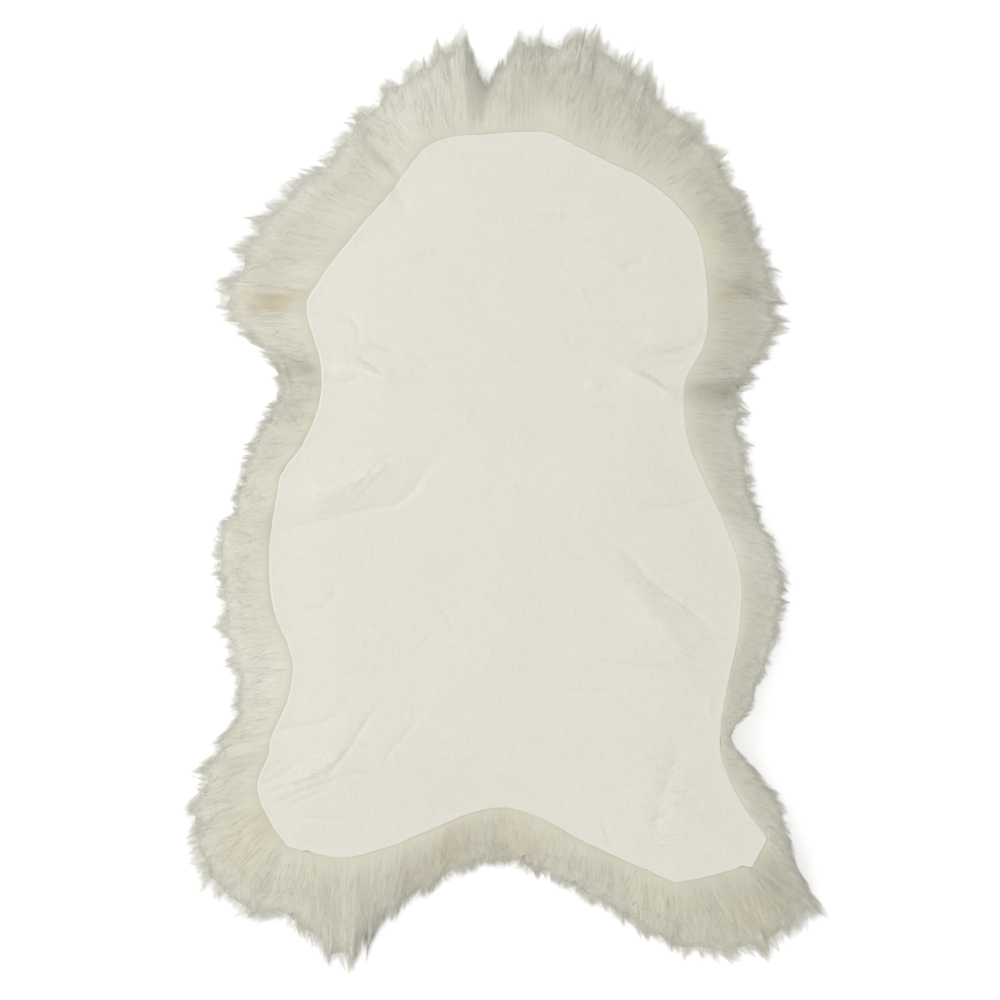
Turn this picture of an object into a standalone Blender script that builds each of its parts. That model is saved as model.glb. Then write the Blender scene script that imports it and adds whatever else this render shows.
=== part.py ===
"""Sheepskin rug, lying with its leather side up and its wool spread on the floor.

It has two pieces, as the pelt has two layers. The hide is the leather, a sheet cut to an irregular
outline, with soft creases. The fleece is the wool under it, a lumpy slab that spreads past the cut
edge all round and ends in pointed locks.

X runs across the rug, Y from the hind legs to the neck, and Z is up. The origin is on the floor,
under the middle of the rug. Sizes are in metres, apart from the tables whose names say millimetres.
"""

import math
import random
from collections import namedtuple

import bmesh
import bpy
from mathutils import Vector
from mathutils.geometry import delaunay_2d_cdt

# Sizes of the sheet and of the wool under it.
HIDE_THICKNESS = 0.002
SEAM_GAP = 0.0003
HIDE_HEIGHT = 0.050
EDGE_DROOP = 0.006
DROOP_WIDTH = 0.050

# Spacing of the points round the edge, inside the hide and under the wool.
STATION_STEP = 0.0205
HIDE_NET_STEP = 0.025
FLOOR_NET_STEP = 0.080
NET_MARGIN = 0.55
CDT_INSIDE = 1
CDT_EPSILON = 1e-7

# Lumps in the wool: how many stations one spans, how high its crown is beside the others, how much
# it lifts and lengthens the wool, and the reach from which it is at its full size.
LUMP_SEED = 11
LUMP_WIDTHS = (2, 3, 3, 4, 5)
LUMP_CROWNS = (0.6, 1.0)
MIDDLE_CROWN = 0.5
LUMP_HEIGHT = 0.26
LUMP_REACH = 0.10
LUMP_FULL_AT = 0.33

# Locks: their random seed, how far a tip strays to a side, and the most that the rug may have.
LOCK_SEED = 29
TIP_WANDER = 0.45
MOST_LOCKS = 300

# Faces that meet at more than this angle stay sharp, in degrees.
SHARP_ANGLE = 35

MM = 0.001
CORNER = True

# One row for each bend of the outline, clockwise from the middle of the neck, in millimetres: where
# the hide's cut edge runs, where the longest wool that grows there ends, and whether the edge turns
# sharply there.
Cut = namedtuple("Cut", "edge_x edge_y wool_x wool_y corner", defaults=(False,))
OUTLINE_MM = (
    # Neck, with the parting in its middle.
    Cut(-24, 426, -20, 483),
    Cut(18, 429, 24, 541),
    Cut(45, 429, 54, 534),
    Cut(64, 423, 86, 548),
    # Right shoulder.
    Cut(113, 398, 150, 516),
    Cut(139, 386, 183, 474),
    Cut(160, 376, 221, 441),
    Cut(198, 347, 267, 376),
    Cut(224, 313, 301, 307),
    Cut(234, 270, 316, 253),
    Cut(237, 207, 324, 200),
    # Right waist.
    Cut(231, 178, 309, 172),
    Cut(211, 139, 287, 135),
    Cut(209, 103, 279, 95),
    Cut(215, 67, 284, 60),
    # Right flank.
    Cut(234, 21, 289, 13),
    Cut(258, -32, 315, -44),
    Cut(274, -81, 331, -104),
    Cut(274, -144, 322, -164),
    Cut(258, -222, 296, -245),
    # Right leg, behind the narrow notch.
    Cut(251, -270, 270, -278),
    Cut(253, -301, 293, -303),
    Cut(274, -347, 327, -354),
    Cut(306, -393, 346, -433, CORNER),
    Cut(288, -426, 364, -477, CORNER),
    Cut(279, -425, 331, -510, CORNER),
    Cut(234, -437, 267, -524),
    Cut(198, -444, 208, -527, CORNER),
    # Arch between the legs.
    Cut(142, -419, 136, -492),
    Cut(88, -394, 78, -452),
    Cut(41, -368, 35, -426),
    Cut(1, -357, -2, -415),
    Cut(-40, -364, -40, -430),
    Cut(-93, -386, -98, -459),
    # Left leg, with the long wisp.
    Cut(-139, -404, -150, -516),
    Cut(-185, -415, -190, -547),
    Cut(-230, -408, -249, -496),
    Cut(-252, -402, -293, -489, CORNER),
    Cut(-274, -371, -349, -431),
    Cut(-287, -331, -365, -361),
    Cut(-274, -293, -353, -313),
    Cut(-272, -276, -339, -292),
    # Left flank.
    Cut(-252, -231, -307, -243),
    Cut(-246, -194, -311, -201),
    Cut(-252, -168, -320, -173),
    Cut(-269, -124, -330, -124),
    Cut(-274, -57, -332, -57),
    Cut(-265, 1, -318, -2),
    Cut(-259, 32, -309, 30),
    # Left waist.
    Cut(-235, 66, -295, 63),
    Cut(-216, 111, -274, 110),
    Cut(-213, 156, -270, 156),
    # Left shoulder.
    Cut(-230, 228, -323, 226),
    Cut(-216, 255, -331, 263),
    Cut(-172, 313, -284, 339),
    Cut(-132, 359, -212, 407),
    Cut(-115, 383, -176, 451),
    Cut(-90, 412, -130, 483),
    Cut(-61, 423, -77, 536),
    Cut(-42, 425, -49, 539),
)

# Soft creases in the leather, in millimetres: a straight run, its rise and its half width.
Crease = namedtuple("Crease", "x0 y0 x1 y1 rise half_width")
CREASES_MM = (
    Crease(125, 158, 190, 122, 3.0, 13),
    Crease(-208, 148, -120, 132, 2.4, 13),
    Crease(-250, -34, -104, 6, 2.6, 20),
    Crease(-262, -340, -160, -272, 2.2, 16),
    Crease(168, -92, 232, -150, 2.4, 18),
    Crease(186, -300, 204, -232, 2.0, 18),
)

# Broad swells and hollows where the wool under the hide lies thick or thin, in millimetres.
Swell = namedtuple("Swell", "x y radius rise")
SWELLS_MM = (
    Swell(-70, 300, 120, 3.0),
    Swell(120, 250, 110, -2.2),
    Swell(20, 90, 150, 2.6),
    Swell(-150, -110, 120, -2.4),
    Swell(160, -60, 120, 2.8),
    Swell(30, -210, 130, -2.0),
    Swell(-190, -330, 100, 3.0),
    Swell(215, -360, 90, 2.4),
)

# Rings of the wool between the cut edge (reach 0) and the wool's ends (reach 1). The height is a
# share of the hide's height at the edge.
Ring = namedtuple("Ring", "reach height")
SLOPE_RINGS = (
    Ring(0.00, 1.00),
    Ring(0.10, 0.97),
    Ring(0.26, 0.90),
    Ring(0.42, 0.78),
    Ring(0.52, 0.60),
    Ring(0.62, 0.44),
    Ring(0.72, 0.30),
)

# Three tiers of locks, one over the other. A tier grows between a ring and the next one down, at
# every station or at every second one. Its columns say where the middle and the tip of a lock lie,
# how full its middle is beside the space there, and how far the shortest and longest locks reach.
LockTier = namedtuple(
    "LockTier", "ring first every middle_reach middle_top middle_foot fullness tip_height shortest longest"
)
LOCK_TIERS = (
    LockTier(2, 0, 2, 0.58, 0.82, 0.70, 1.05, 0.48, 0.74, 0.88),
    LockTier(3, 1, 2, 0.72, 0.58, 0.45, 1.05, 0.24, 0.86, 1.00),
    LockTier(6, 0, 1, 0.88, 0.17, 0.00, 0.66, 0.00, 0.98, 1.14),
)


def clear_scene():
    """Removes every object that the scene holds."""
    for thing in list(bpy.data.objects):
        bpy.data.objects.remove(thing)


def make_material(name, color, roughness):
    """Returns a plain Principled material."""
    material = bpy.data.materials.new(name)
    material.use_nodes = True
    shader = material.node_tree.nodes["Principled BSDF"]
    shader.inputs["Base Color"].default_value = (*color, 1.0)
    shader.inputs["Roughness"].default_value = roughness
    shader.inputs["Metallic"].default_value = 0.0
    material.diffuse_color = (*color, 1.0)
    return material


def curve_point(before, start, end, after, share):
    """Returns the point at a share of the way from start to end on a smooth curve (Catmull-Rom)."""
    knots = [0.0]
    for first, second in ((before, start), (start, end), (end, after)):
        knots.append(knots[-1] + math.sqrt((second - first).length))
    here = knots[1] + (knots[2] - knots[1]) * share

    def blend(first, second, low, high):
        return first * ((knots[high] - here) / (knots[high] - knots[low])) + second * (
            (here - knots[low]) / (knots[high] - knots[low])
        )

    left = blend(blend(before, start, 0, 1), blend(start, end, 1, 2), 0, 2)
    right = blend(blend(start, end, 1, 2), blend(end, after, 2, 3), 1, 3)
    return blend(left, right, 1, 2)


def closed_curve(points, corners, steps):
    """Returns the points of a smooth closed curve through the given ones, sharp at the corners.

    steps says how many pieces the stretch after each point is divided into.
    """
    count = len(points)
    curve = []
    for i, pieces in enumerate(steps):
        before, start, end, after = (points[(i + k) % count] for k in (-1, 0, 1, 2))
        if corners[i]:
            before = start * 2 - end
        if corners[(i + 1) % count]:
            after = end * 2 - start
        curve += [curve_point(before, start, end, after, k / pieces) for k in range(pieces)]
    return curve


def outline_curves():
    """Returns the hide's edge and the line of the wool's ends, with one point each per station."""
    edges = [Vector((row.edge_x, row.edge_y)) * MM for row in OUTLINE_MM]
    ends = [Vector((row.wool_x, row.wool_y)) * MM for row in OUTLINE_MM]
    corners = [row.corner for row in OUTLINE_MM]
    steps = []
    for i, row in enumerate(OUTLINE_MM):
        following = (i + 1) % len(OUTLINE_MM)
        run = ((edges[i] - edges[following]).length + (ends[i] - ends[following]).length) / 2
        steps.append(max(1, round(run / STATION_STEP)))
    smooth = [False] * len(OUTLINE_MM)
    return closed_curve(edges, corners, steps), closed_curve(ends, smooth, steps)


def distance_to_run(point, start, end):
    """Returns how far a point is from a straight run."""
    along = end - start
    share = max(0.0, min(1.0, (point - start).dot(along) / along.length_squared))
    return (point - start - along * share).length


def distance_to_loop(point, loop):
    """Returns how far a point is from a closed outline."""
    return min(distance_to_run(point, loop[i - 1], loop[i]) for i in range(len(loop)))


def is_inside(point, loop):
    """Says whether a point lies inside a closed outline."""
    inside = False
    for i, second in enumerate(loop):
        first = loop[i - 1]
        if (first.y > point.y) != (second.y > point.y):
            crossing = first.x + (second.x - first.x) * (point.y - first.y) / (second.y - first.y)
            if point.x < crossing:
                inside = not inside
    return inside


def even_points(loop, step):
    """Returns points in even, staggered rows inside a closed outline, clear of its edge."""
    low = Vector((min(p.x for p in loop), min(p.y for p in loop)))
    high = Vector((max(p.x for p in loop), max(p.y for p in loop)))
    row_step = step * math.sqrt(3) / 2
    points = []
    for row in range(math.ceil((high.y - low.y) / row_step)):
        shift = step / 2 if row % 2 else 0.0
        for column in range(math.ceil((high.x - low.x) / step)):
            point = Vector((low.x + shift + column * step, low.y + (row + 0.5) * row_step))
            if is_inside(point, loop) and distance_to_loop(point, loop) > step * NET_MARGIN:
                points.append(point)
    return points


def fill_outline(loop, step):
    """Returns the points and triangles of an even net that fills a closed outline.

    The outline's own points come first, in their order.
    """
    points = list(loop) + even_points(loop, step)
    rim = [(i, (i + 1) % len(loop)) for i in range(len(loop))]
    placed, _, faces, origins, _, _ = delaunay_2d_cdt(points, rim, [], CDT_INSIDE, CDT_EPSILON)
    source = [origin[0] for origin in origins]
    return points, [tuple(source[corner] for corner in face) for face in faces]


def relief(point):
    """Returns how far the leather stands above its usual height at a point, from creases and swells."""
    rise = 0.0
    for crease in CREASES_MM:
        start = Vector((crease.x0, crease.y0)) * MM
        end = Vector((crease.x1, crease.y1)) * MM
        away = distance_to_run(point, start, end) / (crease.half_width * MM)
        rise += crease.rise * MM * math.exp(-away * away)
    for swell in SWELLS_MM:
        away = (point - Vector((swell.x, swell.y)) * MM).length / (swell.radius * MM)
        rise += swell.rise * MM * math.exp(-away * away)
    return rise


def leather_heights(points, edge):
    """Returns the height of the leather's underside at each point: it droops towards its cut edge."""
    heights = []
    for point in points:
        inward = distance_to_loop(point, edge) / DROOP_WIDTH
        heights.append(HIDE_HEIGHT + relief(point) - EDGE_DROOP * math.exp(-inward * inward))
    return heights


def lump_crowns(count):
    """Returns how far the wool swells at each station, from 0 in a furrow to about 1 on a lump."""
    chance = random.Random(LUMP_SEED)
    crowns = []
    while len(crowns) < count:
        width = chance.choice(LUMP_WIDTHS)
        crown = chance.uniform(*LUMP_CROWNS)
        crowns += [crown * math.sin(math.pi * (k + 0.5) / width) for k in range(width)]
    return crowns[:count]


class Fleece:
    """The wool: its slope in rings round the hide's edge, tiers of locks, and a flat underside."""

    def __init__(self, edge, ends, edge_heights):
        self.edge = edge
        self.ends = ends
        self.edge_heights = edge_heights
        self.crowns = lump_crowns(len(edge))
        self.chance = random.Random(LOCK_SEED)
        self.mesh = bmesh.new()

    def place(self, station, ring_reach, ring_height):
        """Returns a point of the slope at a station, swollen by the lump there."""
        swell = (self.crowns[station] - MIDDLE_CROWN) * min(1.0, ring_reach / LUMP_FULL_AT)
        reach = ring_reach * (1 + LUMP_REACH * swell)
        flat = self.edge[station].lerp(self.ends[station], reach)
        height = self.edge_heights[station] * ring_height * (1 + LUMP_HEIGHT * swell)
        return Vector((flat.x, flat.y, height))

    def add_rings(self):
        """Adds the vertices of every ring of the slope, and of the rim's foot on the floor."""
        rings = []
        for ring in SLOPE_RINGS:
            places = [self.place(i, ring.reach, ring.height) for i in range(len(self.edge))]
            rings.append([self.mesh.verts.new(place) for place in places])
        rim = [vertex.co for vertex in rings[-1]]
        rings.append([self.mesh.verts.new((co.x, co.y, 0.0)) for co in rim])
        return rings

    def lock_section(self, station, tier):
        """Returns the four corners of a lock's middle: top left, top right, foot right, foot left."""
        following = (station + 1) % len(self.edge)
        corners = []
        for height in (tier.middle_top, tier.middle_foot):
            left = self.place(station, tier.middle_reach, height)
            right = self.place(following, tier.middle_reach, height)
            centre = (left + right) / 2
            side = (right - left) / 2 * tier.fullness
            corners.append((centre - side, centre + side))
        top, foot = corners
        return top[0], top[1], foot[1], foot[0]

    def lock_tip(self, station, tier):
        """Returns the point that a lock ends in, a little to one side as wool lies."""
        following = (station + 1) % len(self.edge)
        reach = self.chance.uniform(tier.shortest, tier.longest)
        left = self.place(station, reach, tier.tip_height)
        right = self.place(following, reach, tier.tip_height)
        wander = self.chance.uniform(-TIP_WANDER, TIP_WANDER)
        return left.lerp(right, 0.5 + wander)

    def add_lock(self, root, station, tier):
        """Adds one four-sided lock on four root vertices, in two lengths down to its tip."""
        middle = [self.mesh.verts.new(corner) for corner in self.lock_section(station, tier)]
        tip = self.mesh.verts.new(self.lock_tip(station, tier))
        for k in range(4):
            after = (k + 1) % 4
            self.mesh.faces.new((root[k], root[after], middle[after], middle[k]))
            self.mesh.faces.new((middle[k], middle[after], tip))

    def add_slope(self, rings):
        """Joins the rings with faces, or with a lock where a tier of locks has a root."""
        tiers = {tier.ring: tier for tier in LOCK_TIERS}
        for level in range(len(rings) - 1):
            tier = tiers.get(level)
            for station in range(len(self.edge)):
                following = (station + 1) % len(self.edge)
                upper, lower = rings[level], rings[level + 1]
                face = (upper[station], upper[following], lower[following], lower[station])
                if tier and station % tier.every == tier.first:
                    self.add_lock(face, station, tier)
                else:
                    self.mesh.faces.new(face)

    def add_net(self, loop, points, heights, triangles):
        """Adds a net of triangles whose first points are the vertices of a ring."""
        inner = [self.mesh.verts.new((p.x, p.y, z)) for p, z in zip(points, heights)]
        vertices = loop + inner
        for triangle in triangles:
            self.mesh.faces.new([vertices[corner] for corner in triangle])

    def build(self, points, heights, triangles):
        """Models the fleece under the hide's net and returns its mesh."""
        rings = self.add_rings()
        self.add_slope(rings)
        count = len(self.edge)
        under_hide = [height - SEAM_GAP for height in heights[count:]]
        self.add_net(rings[0], points[count:], under_hide, triangles)
        rim = [vertex.co.xy for vertex in rings[-1]]
        floor_points, floor_triangles = fill_outline(rim, FLOOR_NET_STEP)
        level = [0.0] * (len(floor_points) - count)
        self.add_net(rings[-1], floor_points[count:], level, floor_triangles)
        return self.mesh


def build_hide(points, heights, triangles, edge_count):
    """Models the hide as a closed sheet on its net: underside, upper side and cut edge."""
    mesh = bmesh.new()
    under = [mesh.verts.new((p.x, p.y, z)) for p, z in zip(points, heights)]
    upper = [mesh.verts.new((p.x, p.y, z + HIDE_THICKNESS)) for p, z in zip(points, heights)]
    for triangle in triangles:
        mesh.faces.new([under[corner] for corner in reversed(triangle)])
        mesh.faces.new([upper[corner] for corner in triangle])
    for i in range(edge_count):
        following = (i + 1) % edge_count
        mesh.faces.new((under[i], under[following], upper[following], upper[i]))
    return mesh


def finish_object(name, mesh, material):
    """Turns a mesh into a named object with its faces pointing out and its round forms smooth."""
    bmesh.ops.recalc_face_normals(mesh, faces=mesh.faces)
    data = bpy.data.meshes.new(name)
    mesh.to_mesh(data)
    mesh.free()
    data.shade_smooth()
    data.set_sharp_from_angle(angle=math.radians(SHARP_ANGLE))
    data.materials.append(material)
    thing = bpy.data.objects.new(name, data)
    bpy.context.scene.collection.objects.link(thing)
    return thing


def centre_on_origin(things):
    """Moves the pieces' meshes so that the middle of their common box is over the origin."""
    corners = [vertex.co for thing in things for vertex in thing.data.vertices]
    middle_x = (min(c.x for c in corners) + max(c.x for c in corners)) / 2
    middle_y = (min(c.y for c in corners) + max(c.y for c in corners)) / 2
    for corner in corners:
        corner.x -= middle_x
        corner.y -= middle_y


def main():
    """Builds the rug."""
    clear_scene()
    leather = make_material("Leather", (0.80, 0.78, 0.71), 0.75)
    wool = make_material("Wool", (0.74, 0.72, 0.63), 0.95)
    edge, ends = outline_curves()
    assert sum(len(edge) // tier.every for tier in LOCK_TIERS) <= MOST_LOCKS
    points, triangles = fill_outline(edge, HIDE_NET_STEP)
    heights = leather_heights(points, edge)
    wool_heights = [height - SEAM_GAP for height in heights[: len(edge)]]
    hide = finish_object("hide", build_hide(points, heights, triangles, len(edge)), leather)
    fleece_mesh = Fleece(edge, ends, wool_heights).build(points, heights, triangles)
    fleece = finish_object("fleece", fleece_mesh, wool)
    centre_on_origin((hide, fleece))


main()
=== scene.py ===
"""Looks of a sheepskin rug that lies with its leather side up and its wool spread on the floor.

The hide is a thin leather sheet with soft folds. The wool is a bed of felted fibre under it and round
it, covered with fine locks that spring from under the cut edge, fall to the floor and end in points.

Sizes are in metres, apart from the tables whose names end in MM. X runs across the rug, Y from the hind
legs to the neck, and Z is up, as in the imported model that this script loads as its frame.
"""

from __future__ import annotations

import logging
import math
import random
from dataclasses import dataclass
from enum import Enum

import bpy
import numpy as np
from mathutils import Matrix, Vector
from mathutils.geometry import delaunay_2d_cdt


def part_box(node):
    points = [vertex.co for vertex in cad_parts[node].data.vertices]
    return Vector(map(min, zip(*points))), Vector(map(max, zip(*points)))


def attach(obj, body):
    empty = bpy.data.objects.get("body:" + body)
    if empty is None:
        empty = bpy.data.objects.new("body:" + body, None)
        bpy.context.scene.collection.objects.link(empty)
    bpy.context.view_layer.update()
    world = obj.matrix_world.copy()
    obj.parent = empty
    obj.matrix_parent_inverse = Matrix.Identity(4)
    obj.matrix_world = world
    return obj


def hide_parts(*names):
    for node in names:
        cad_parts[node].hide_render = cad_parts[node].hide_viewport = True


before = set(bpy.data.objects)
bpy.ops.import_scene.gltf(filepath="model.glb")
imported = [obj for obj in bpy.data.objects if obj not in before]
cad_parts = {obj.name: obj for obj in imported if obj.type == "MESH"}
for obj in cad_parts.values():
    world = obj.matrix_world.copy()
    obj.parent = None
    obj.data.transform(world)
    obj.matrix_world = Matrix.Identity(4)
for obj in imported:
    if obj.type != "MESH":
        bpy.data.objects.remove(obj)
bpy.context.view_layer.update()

MM = 0.001
BAKE_MAP = "OFBake"
# The leather's colour attribute: painted shade and highlight at the folds, close wrinkles, a painted highlight on
# the cut edge and a painted shadow line at it.
MARKS_AND_PAINTED_LIGHT = "hide_marks"
ROUND_STEPS = 3200
SHARP_DEGREES = 50
CLEAR_OF_RIM = 0.6
LOG = logging.getLogger("sheepskin")
Array = np.ndarray
Color = tuple[float, float, float]
Material = bpy.types.Material
Node = bpy.types.Node
Socket = bpy.types.NodeSocket
Tree = bpy.types.NodeTree


# ---- The rug's own sizes, read from its picture at 1.16 mm a pixel.


@dataclass(frozen=True)
class Cut:
    """One bend of the outline: the hide's cut edge, and where the longest wool there ends.

    A corner turns sharply.
    """

    edge_x: float
    edge_y: float
    wool_x: float
    wool_y: float
    corner: bool = False


CORNER = True
OUTLINE_MM = (
    # Neck, with the parting in its middle.
    Cut(-24, 426, -20, 492), Cut(-5, 428, -3, 508), Cut(18, 429, 24, 544), Cut(45, 429, 55, 543),
    Cut(64, 423, 85, 545),
    # Right shoulder.
    Cut(113, 398, 150, 516), Cut(139, 386, 184, 477), Cut(160, 376, 224, 445),
    Cut(198, 347, 267, 376), Cut(224, 313, 301, 307), Cut(234, 270, 316, 253),
    Cut(237, 207, 324, 200),
    # Right waist.
    Cut(231, 178, 309, 172), Cut(211, 139, 287, 135), Cut(209, 103, 279, 95), Cut(215, 67, 284, 60),
    # Right flank.
    Cut(234, 21, 286, 13), Cut(258, -32, 311, -43), Cut(274, -81, 327, -103),
    Cut(274, -144, 316, -161), Cut(258, -222, 287, -240),
    # Right leg, behind the narrow notch.
    Cut(251, -270, 263, -275), Cut(253, -301, 285, -303), Cut(274, -347, 322, -353),
    Cut(306, -393, 340, -427, CORNER), Cut(288, -426, 369, -480, CORNER),
    Cut(279, -425, 329, -507, CORNER), Cut(234, -437, 270, -532), Cut(198, -444, 208, -527, CORNER),
    # Arch between the legs.
    Cut(142, -419, 136, -487), Cut(88, -394, 78, -452), Cut(41, -368, 34, -434),
    Cut(1, -357, -2, -422), Cut(-40, -364, -40, -430), Cut(-93, -386, -98, -459),
    # Left leg, with the long wisp.
    Cut(-139, -404, -148, -503), Cut(-185, -415, -190, -543), Cut(-230, -408, -248, -490),
    Cut(-252, -402, -293, -489, CORNER), Cut(-274, -371, -354, -435), Cut(-287, -331, -368, -362),
    Cut(-274, -293, -353, -313), Cut(-272, -276, -341, -292),
    # Left flank.
    Cut(-252, -231, -317, -245), Cut(-246, -194, -316, -202), Cut(-252, -168, -329, -174),
    Cut(-269, -124, -330, -124), Cut(-274, -57, -338, -57), Cut(-265, 1, -318, -2),
    Cut(-259, 32, -309, 30),
    # Left waist.
    Cut(-235, 66, -298, 63), Cut(-216, 111, -274, 110), Cut(-213, 156, -268, 156),
    # Left shoulder.
    Cut(-230, 228, -332, 226), Cut(-216, 255, -326, 263), Cut(-172, 313, -280, 338),
    Cut(-132, 359, -206, 403), Cut(-115, 383, -175, 450), Cut(-90, 412, -131, 486),
    Cut(-61, 423, -76, 531), Cut(-42, 425, -49, 539),
)


@dataclass(frozen=True)
class Fold:
    """A soft ridge or trough in the leather along a path, fading out at both ends.

    The two half widths are those on the left and the right of someone who walks along the path.
    """

    path: tuple[tuple[float, float], ...]
    rise: float
    left: float
    right: float


FOLDS_MM = (
    # Right waist: a sharp ridge, the dip behind it, and the fan of wrinkles to the edge.
    Fold(((132, 154), (157, 143), (175, 134), (190, 124), (208, 114)), 3.0, 8, 12),
    Fold(((157, 151), (175, 142), (187, 132)), -1.2, 4, 4),
    Fold(((93, 135), (114, 133)), 0.8, 5, 5),
    Fold(((235, 197), (215, 191), (186, 187), (157, 184)), 2.0, 8, 14),
    Fold(((233, 185), (215, 179), (186, 172), (157, 166)), -0.6, 3, 3),
    Fold(((228, 176), (203, 172), (180, 171)), -0.5, 3, 3),
    Fold(((222, 166), (195, 160), (165, 158)), -0.4, 4, 4),
    # Right shoulder.
    Fold(((166, 282), (148, 277), (136, 267)), -1.0, 6, 6),
    Fold(((55, 302), (111, 303), (157, 302)), -0.3, 4, 4),
    Fold(((1, 333), (64, 331), (122, 328)), -0.3, 4, 4),
    Fold(((47, 293), (88, 244), (107, 200)), 0.3, 3, 3),
    # Left waist.
    Fold(((-207, 154), (-172, 154), (-121, 135)), 2.4, 13, 13),
    Fold(((-193, 218), (-179, 212), (-170, 198), (-168, 180)), -0.8, 4, 4),
    Fold(((-172, 177), (-147, 179), (-124, 172)), -1.2, 4, 4),
    Fold(((-172, 170), (-154, 156), (-140, 147)), -1.0, 4, 4),
    Fold(((-212, 142), (-185, 139), (-162, 146)), -0.9, 5, 5),
    Fold(((-110, 172), (-96, 163), (-84, 151)), -0.4, 4, 4),
    # Left hip: a long trough under a broad ridge, with short wrinkles across the ridge.
    Fold(
        (
            *((-272, -37), (-237, -28), (-202, -20), (-179, -13), (-158, -8)),
            *((-127, -3), (-107, 10), (-93, 31), (-77, 45)),
        ),
        -1.7,
        10,
        5,
    ),
    Fold(((-237, 10), (-202, 15), (-168, 26), (-127, 45)), 2.6, 18, 18),
    Fold(((-176, 9), (-161, 26), (-144, 47)), -0.5, 3, 3),
    Fold(((-168, 5), (-154, 21), (-137, 35)), -0.4, 3, 3),
    Fold(((-147, 47), (-130, 55), (-117, 60)), -0.3, 4, 4),
    Fold(((-237, -126), (-212, -122), (-199, -111), (-195, -96)), -0.6, 5, 5),
    # Middle of the back.
    Fold(((-77, -122), (-67, -136), (-57, -153)), -0.4, 4, 4),
    Fold(((-100, -171), (-84, -153)), -0.4, 3, 3),
    Fold(((97, 107), (117, 110), (140, 106)), -0.5, 4, 4),
    # Right hip: a trough, and the broad ridge on its left.
    Fold(((148, -9), (186, -6), (215, -1), (241, 6)), -1.2, 9, 6),
    Fold(
        ((132, -52), (149, -69), (166, -92), (183, -106), (213, -127), (234, -144), (245, -160)),
        -1.7,
        5,
        10,
    ),
    Fold(((140, -98), (169, -133), (198, -168), (215, -191)), 2.4, 17, 17),
    Fold(((99, -186), (140, -189), (175, -190), (204, -198)), -0.5, 4, 4),
    Fold(((64, -220), (134, -219)), -0.3, 5, 5),
    Fold(((236, -229), (239, -247)), 1.2, 6, 6),
    # Right leg.
    Fold(((194, -278), (199, -299), (190, -320), (180, -345), (175, -371), (177, -396)), -1.3, 9, 9),
    Fold(((169, -374), (183, -366), (192, -357)), -0.9, 4, 4),
    Fold(((114, -373), (120, -392), (125, -405)), -0.9, 3.5, 3.5),
    # Left leg: a trough from the edge, a long diagonal one, and close wrinkles beside them.
    Fold(((-274, -271), (-249, -262), (-214, -257), (-185, -245)), -1.2, 7, 5),
    Fold(((-262, -336), (-225, -316), (-180, -288)), 1.6, 16, 16),
    Fold(((-149, -241), (-163, -259), (-179, -285), (-193, -303), (-209, -322)), -1.1, 4, 4),
    Fold(((-98, -248), (-117, -273), (-133, -289), (-140, -308)), -0.5, 4, 4),
    Fold(((-281, -343), (-255, -331), (-223, -322), (-197, -310)), -0.8, 3, 3),
    Fold(((-272, -354), (-240, -338), (-212, -329), (-185, -318)), -0.7, 3, 3),
    Fold(((-280, -330), (-260, -317), (-240, -303)), -0.5, 3, 3),
    Fold(((-281, -317), (-265, -306), (-249, -293)), -0.4, 3, 3),
    Fold(((-255, -354), (-226, -343), (-202, -331)), -0.5, 3, 3),
    Fold(((-191, -320), (-170, -314), (-147, -315)), -0.5, 3, 3),
    Fold(((-237, -368), (-208, -366), (-179, -368)), -0.4, 4, 4),
    Fold(((-189, -241), (-179, -225)), -0.4, 3, 3),
    Fold(((-191, -208), (-168, -194), (-121, -193)), -0.3, 4, 4),
    Fold(((-61, -295), (-54, -292), (-50, -298)), 0.4, 2.5, 2.5),
    Fold(((-40, -298), (-15, -301)), -0.3, 4, 4),
    # Neck, where the wool parts at the left.
    Fold(((-129, 360), (-119, 349), (-112, 335)), -1.5, 7, 7),
)


@dataclass(frozen=True)
class Crinkle:
    """A patch of leather with close fine wrinkles: its middle, half sizes, turn in degrees and strength."""

    x: float
    y: float
    half_long: float
    half_wide: float
    turn: float
    strength: float


CRINKLES_MM = (
    Crinkle(180, 180, 62, 34, 8, 0.9), Crinkle(190, 118, 34, 18, -35, 0.6),
    Crinkle(175, 268, 50, 40, 0, 0.5), Crinkle(-190, -2, 62, 20, 18, 0.8),
    Crinkle(-160, 26, 50, 26, 35, 0.6), Crinkle(-170, 170, 56, 34, 5, 0.6),
    Crinkle(190, -118, 88, 28, -42, 1.0), Crinkle(195, -180, 50, 30, -10, 0.8),
    Crinkle(200, -330, 78, 30, -65, 1.0), Crinkle(190, -385, 50, 26, 20, 0.9),
    Crinkle(-235, -322, 74, 34, 22, 1.0), Crinkle(-170, -275, 70, 24, 52, 0.6),
    Crinkle(-225, -385, 60, 26, -8, 0.7), Crinkle(-60, -320, 80, 40, 0, 0.4),
    Crinkle(20, 360, 120, 34, 0, 0.35), Crinkle(130, -10, 80, 60, 0, 0.45),
)


@dataclass(frozen=True)
class Swell:
    """A broad rise or hollow of the leather, where the wool under it lies thick or thin."""

    x: float
    y: float
    radius: float
    rise: float


SWELLS_MM = (
    Swell(-70, 300, 120, 3.0), Swell(120, 250, 110, -2.2), Swell(20, 90, 150, 2.6),
    Swell(-150, -110, 120, -2.4), Swell(160, -60, 120, 2.8), Swell(30, -210, 130, -2.0),
    Swell(-190, -330, 100, 3.0), Swell(215, -360, 90, 2.4),
)


@dataclass(frozen=True)
class Parting:
    """A furrow where the wool falls apart, from the hide's edge to a point among the wool's ends.

    With a depth below zero it is a ridge, where the wool closes up.
    """

    x: float
    y: float
    depth: float
    half_width: float


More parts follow.
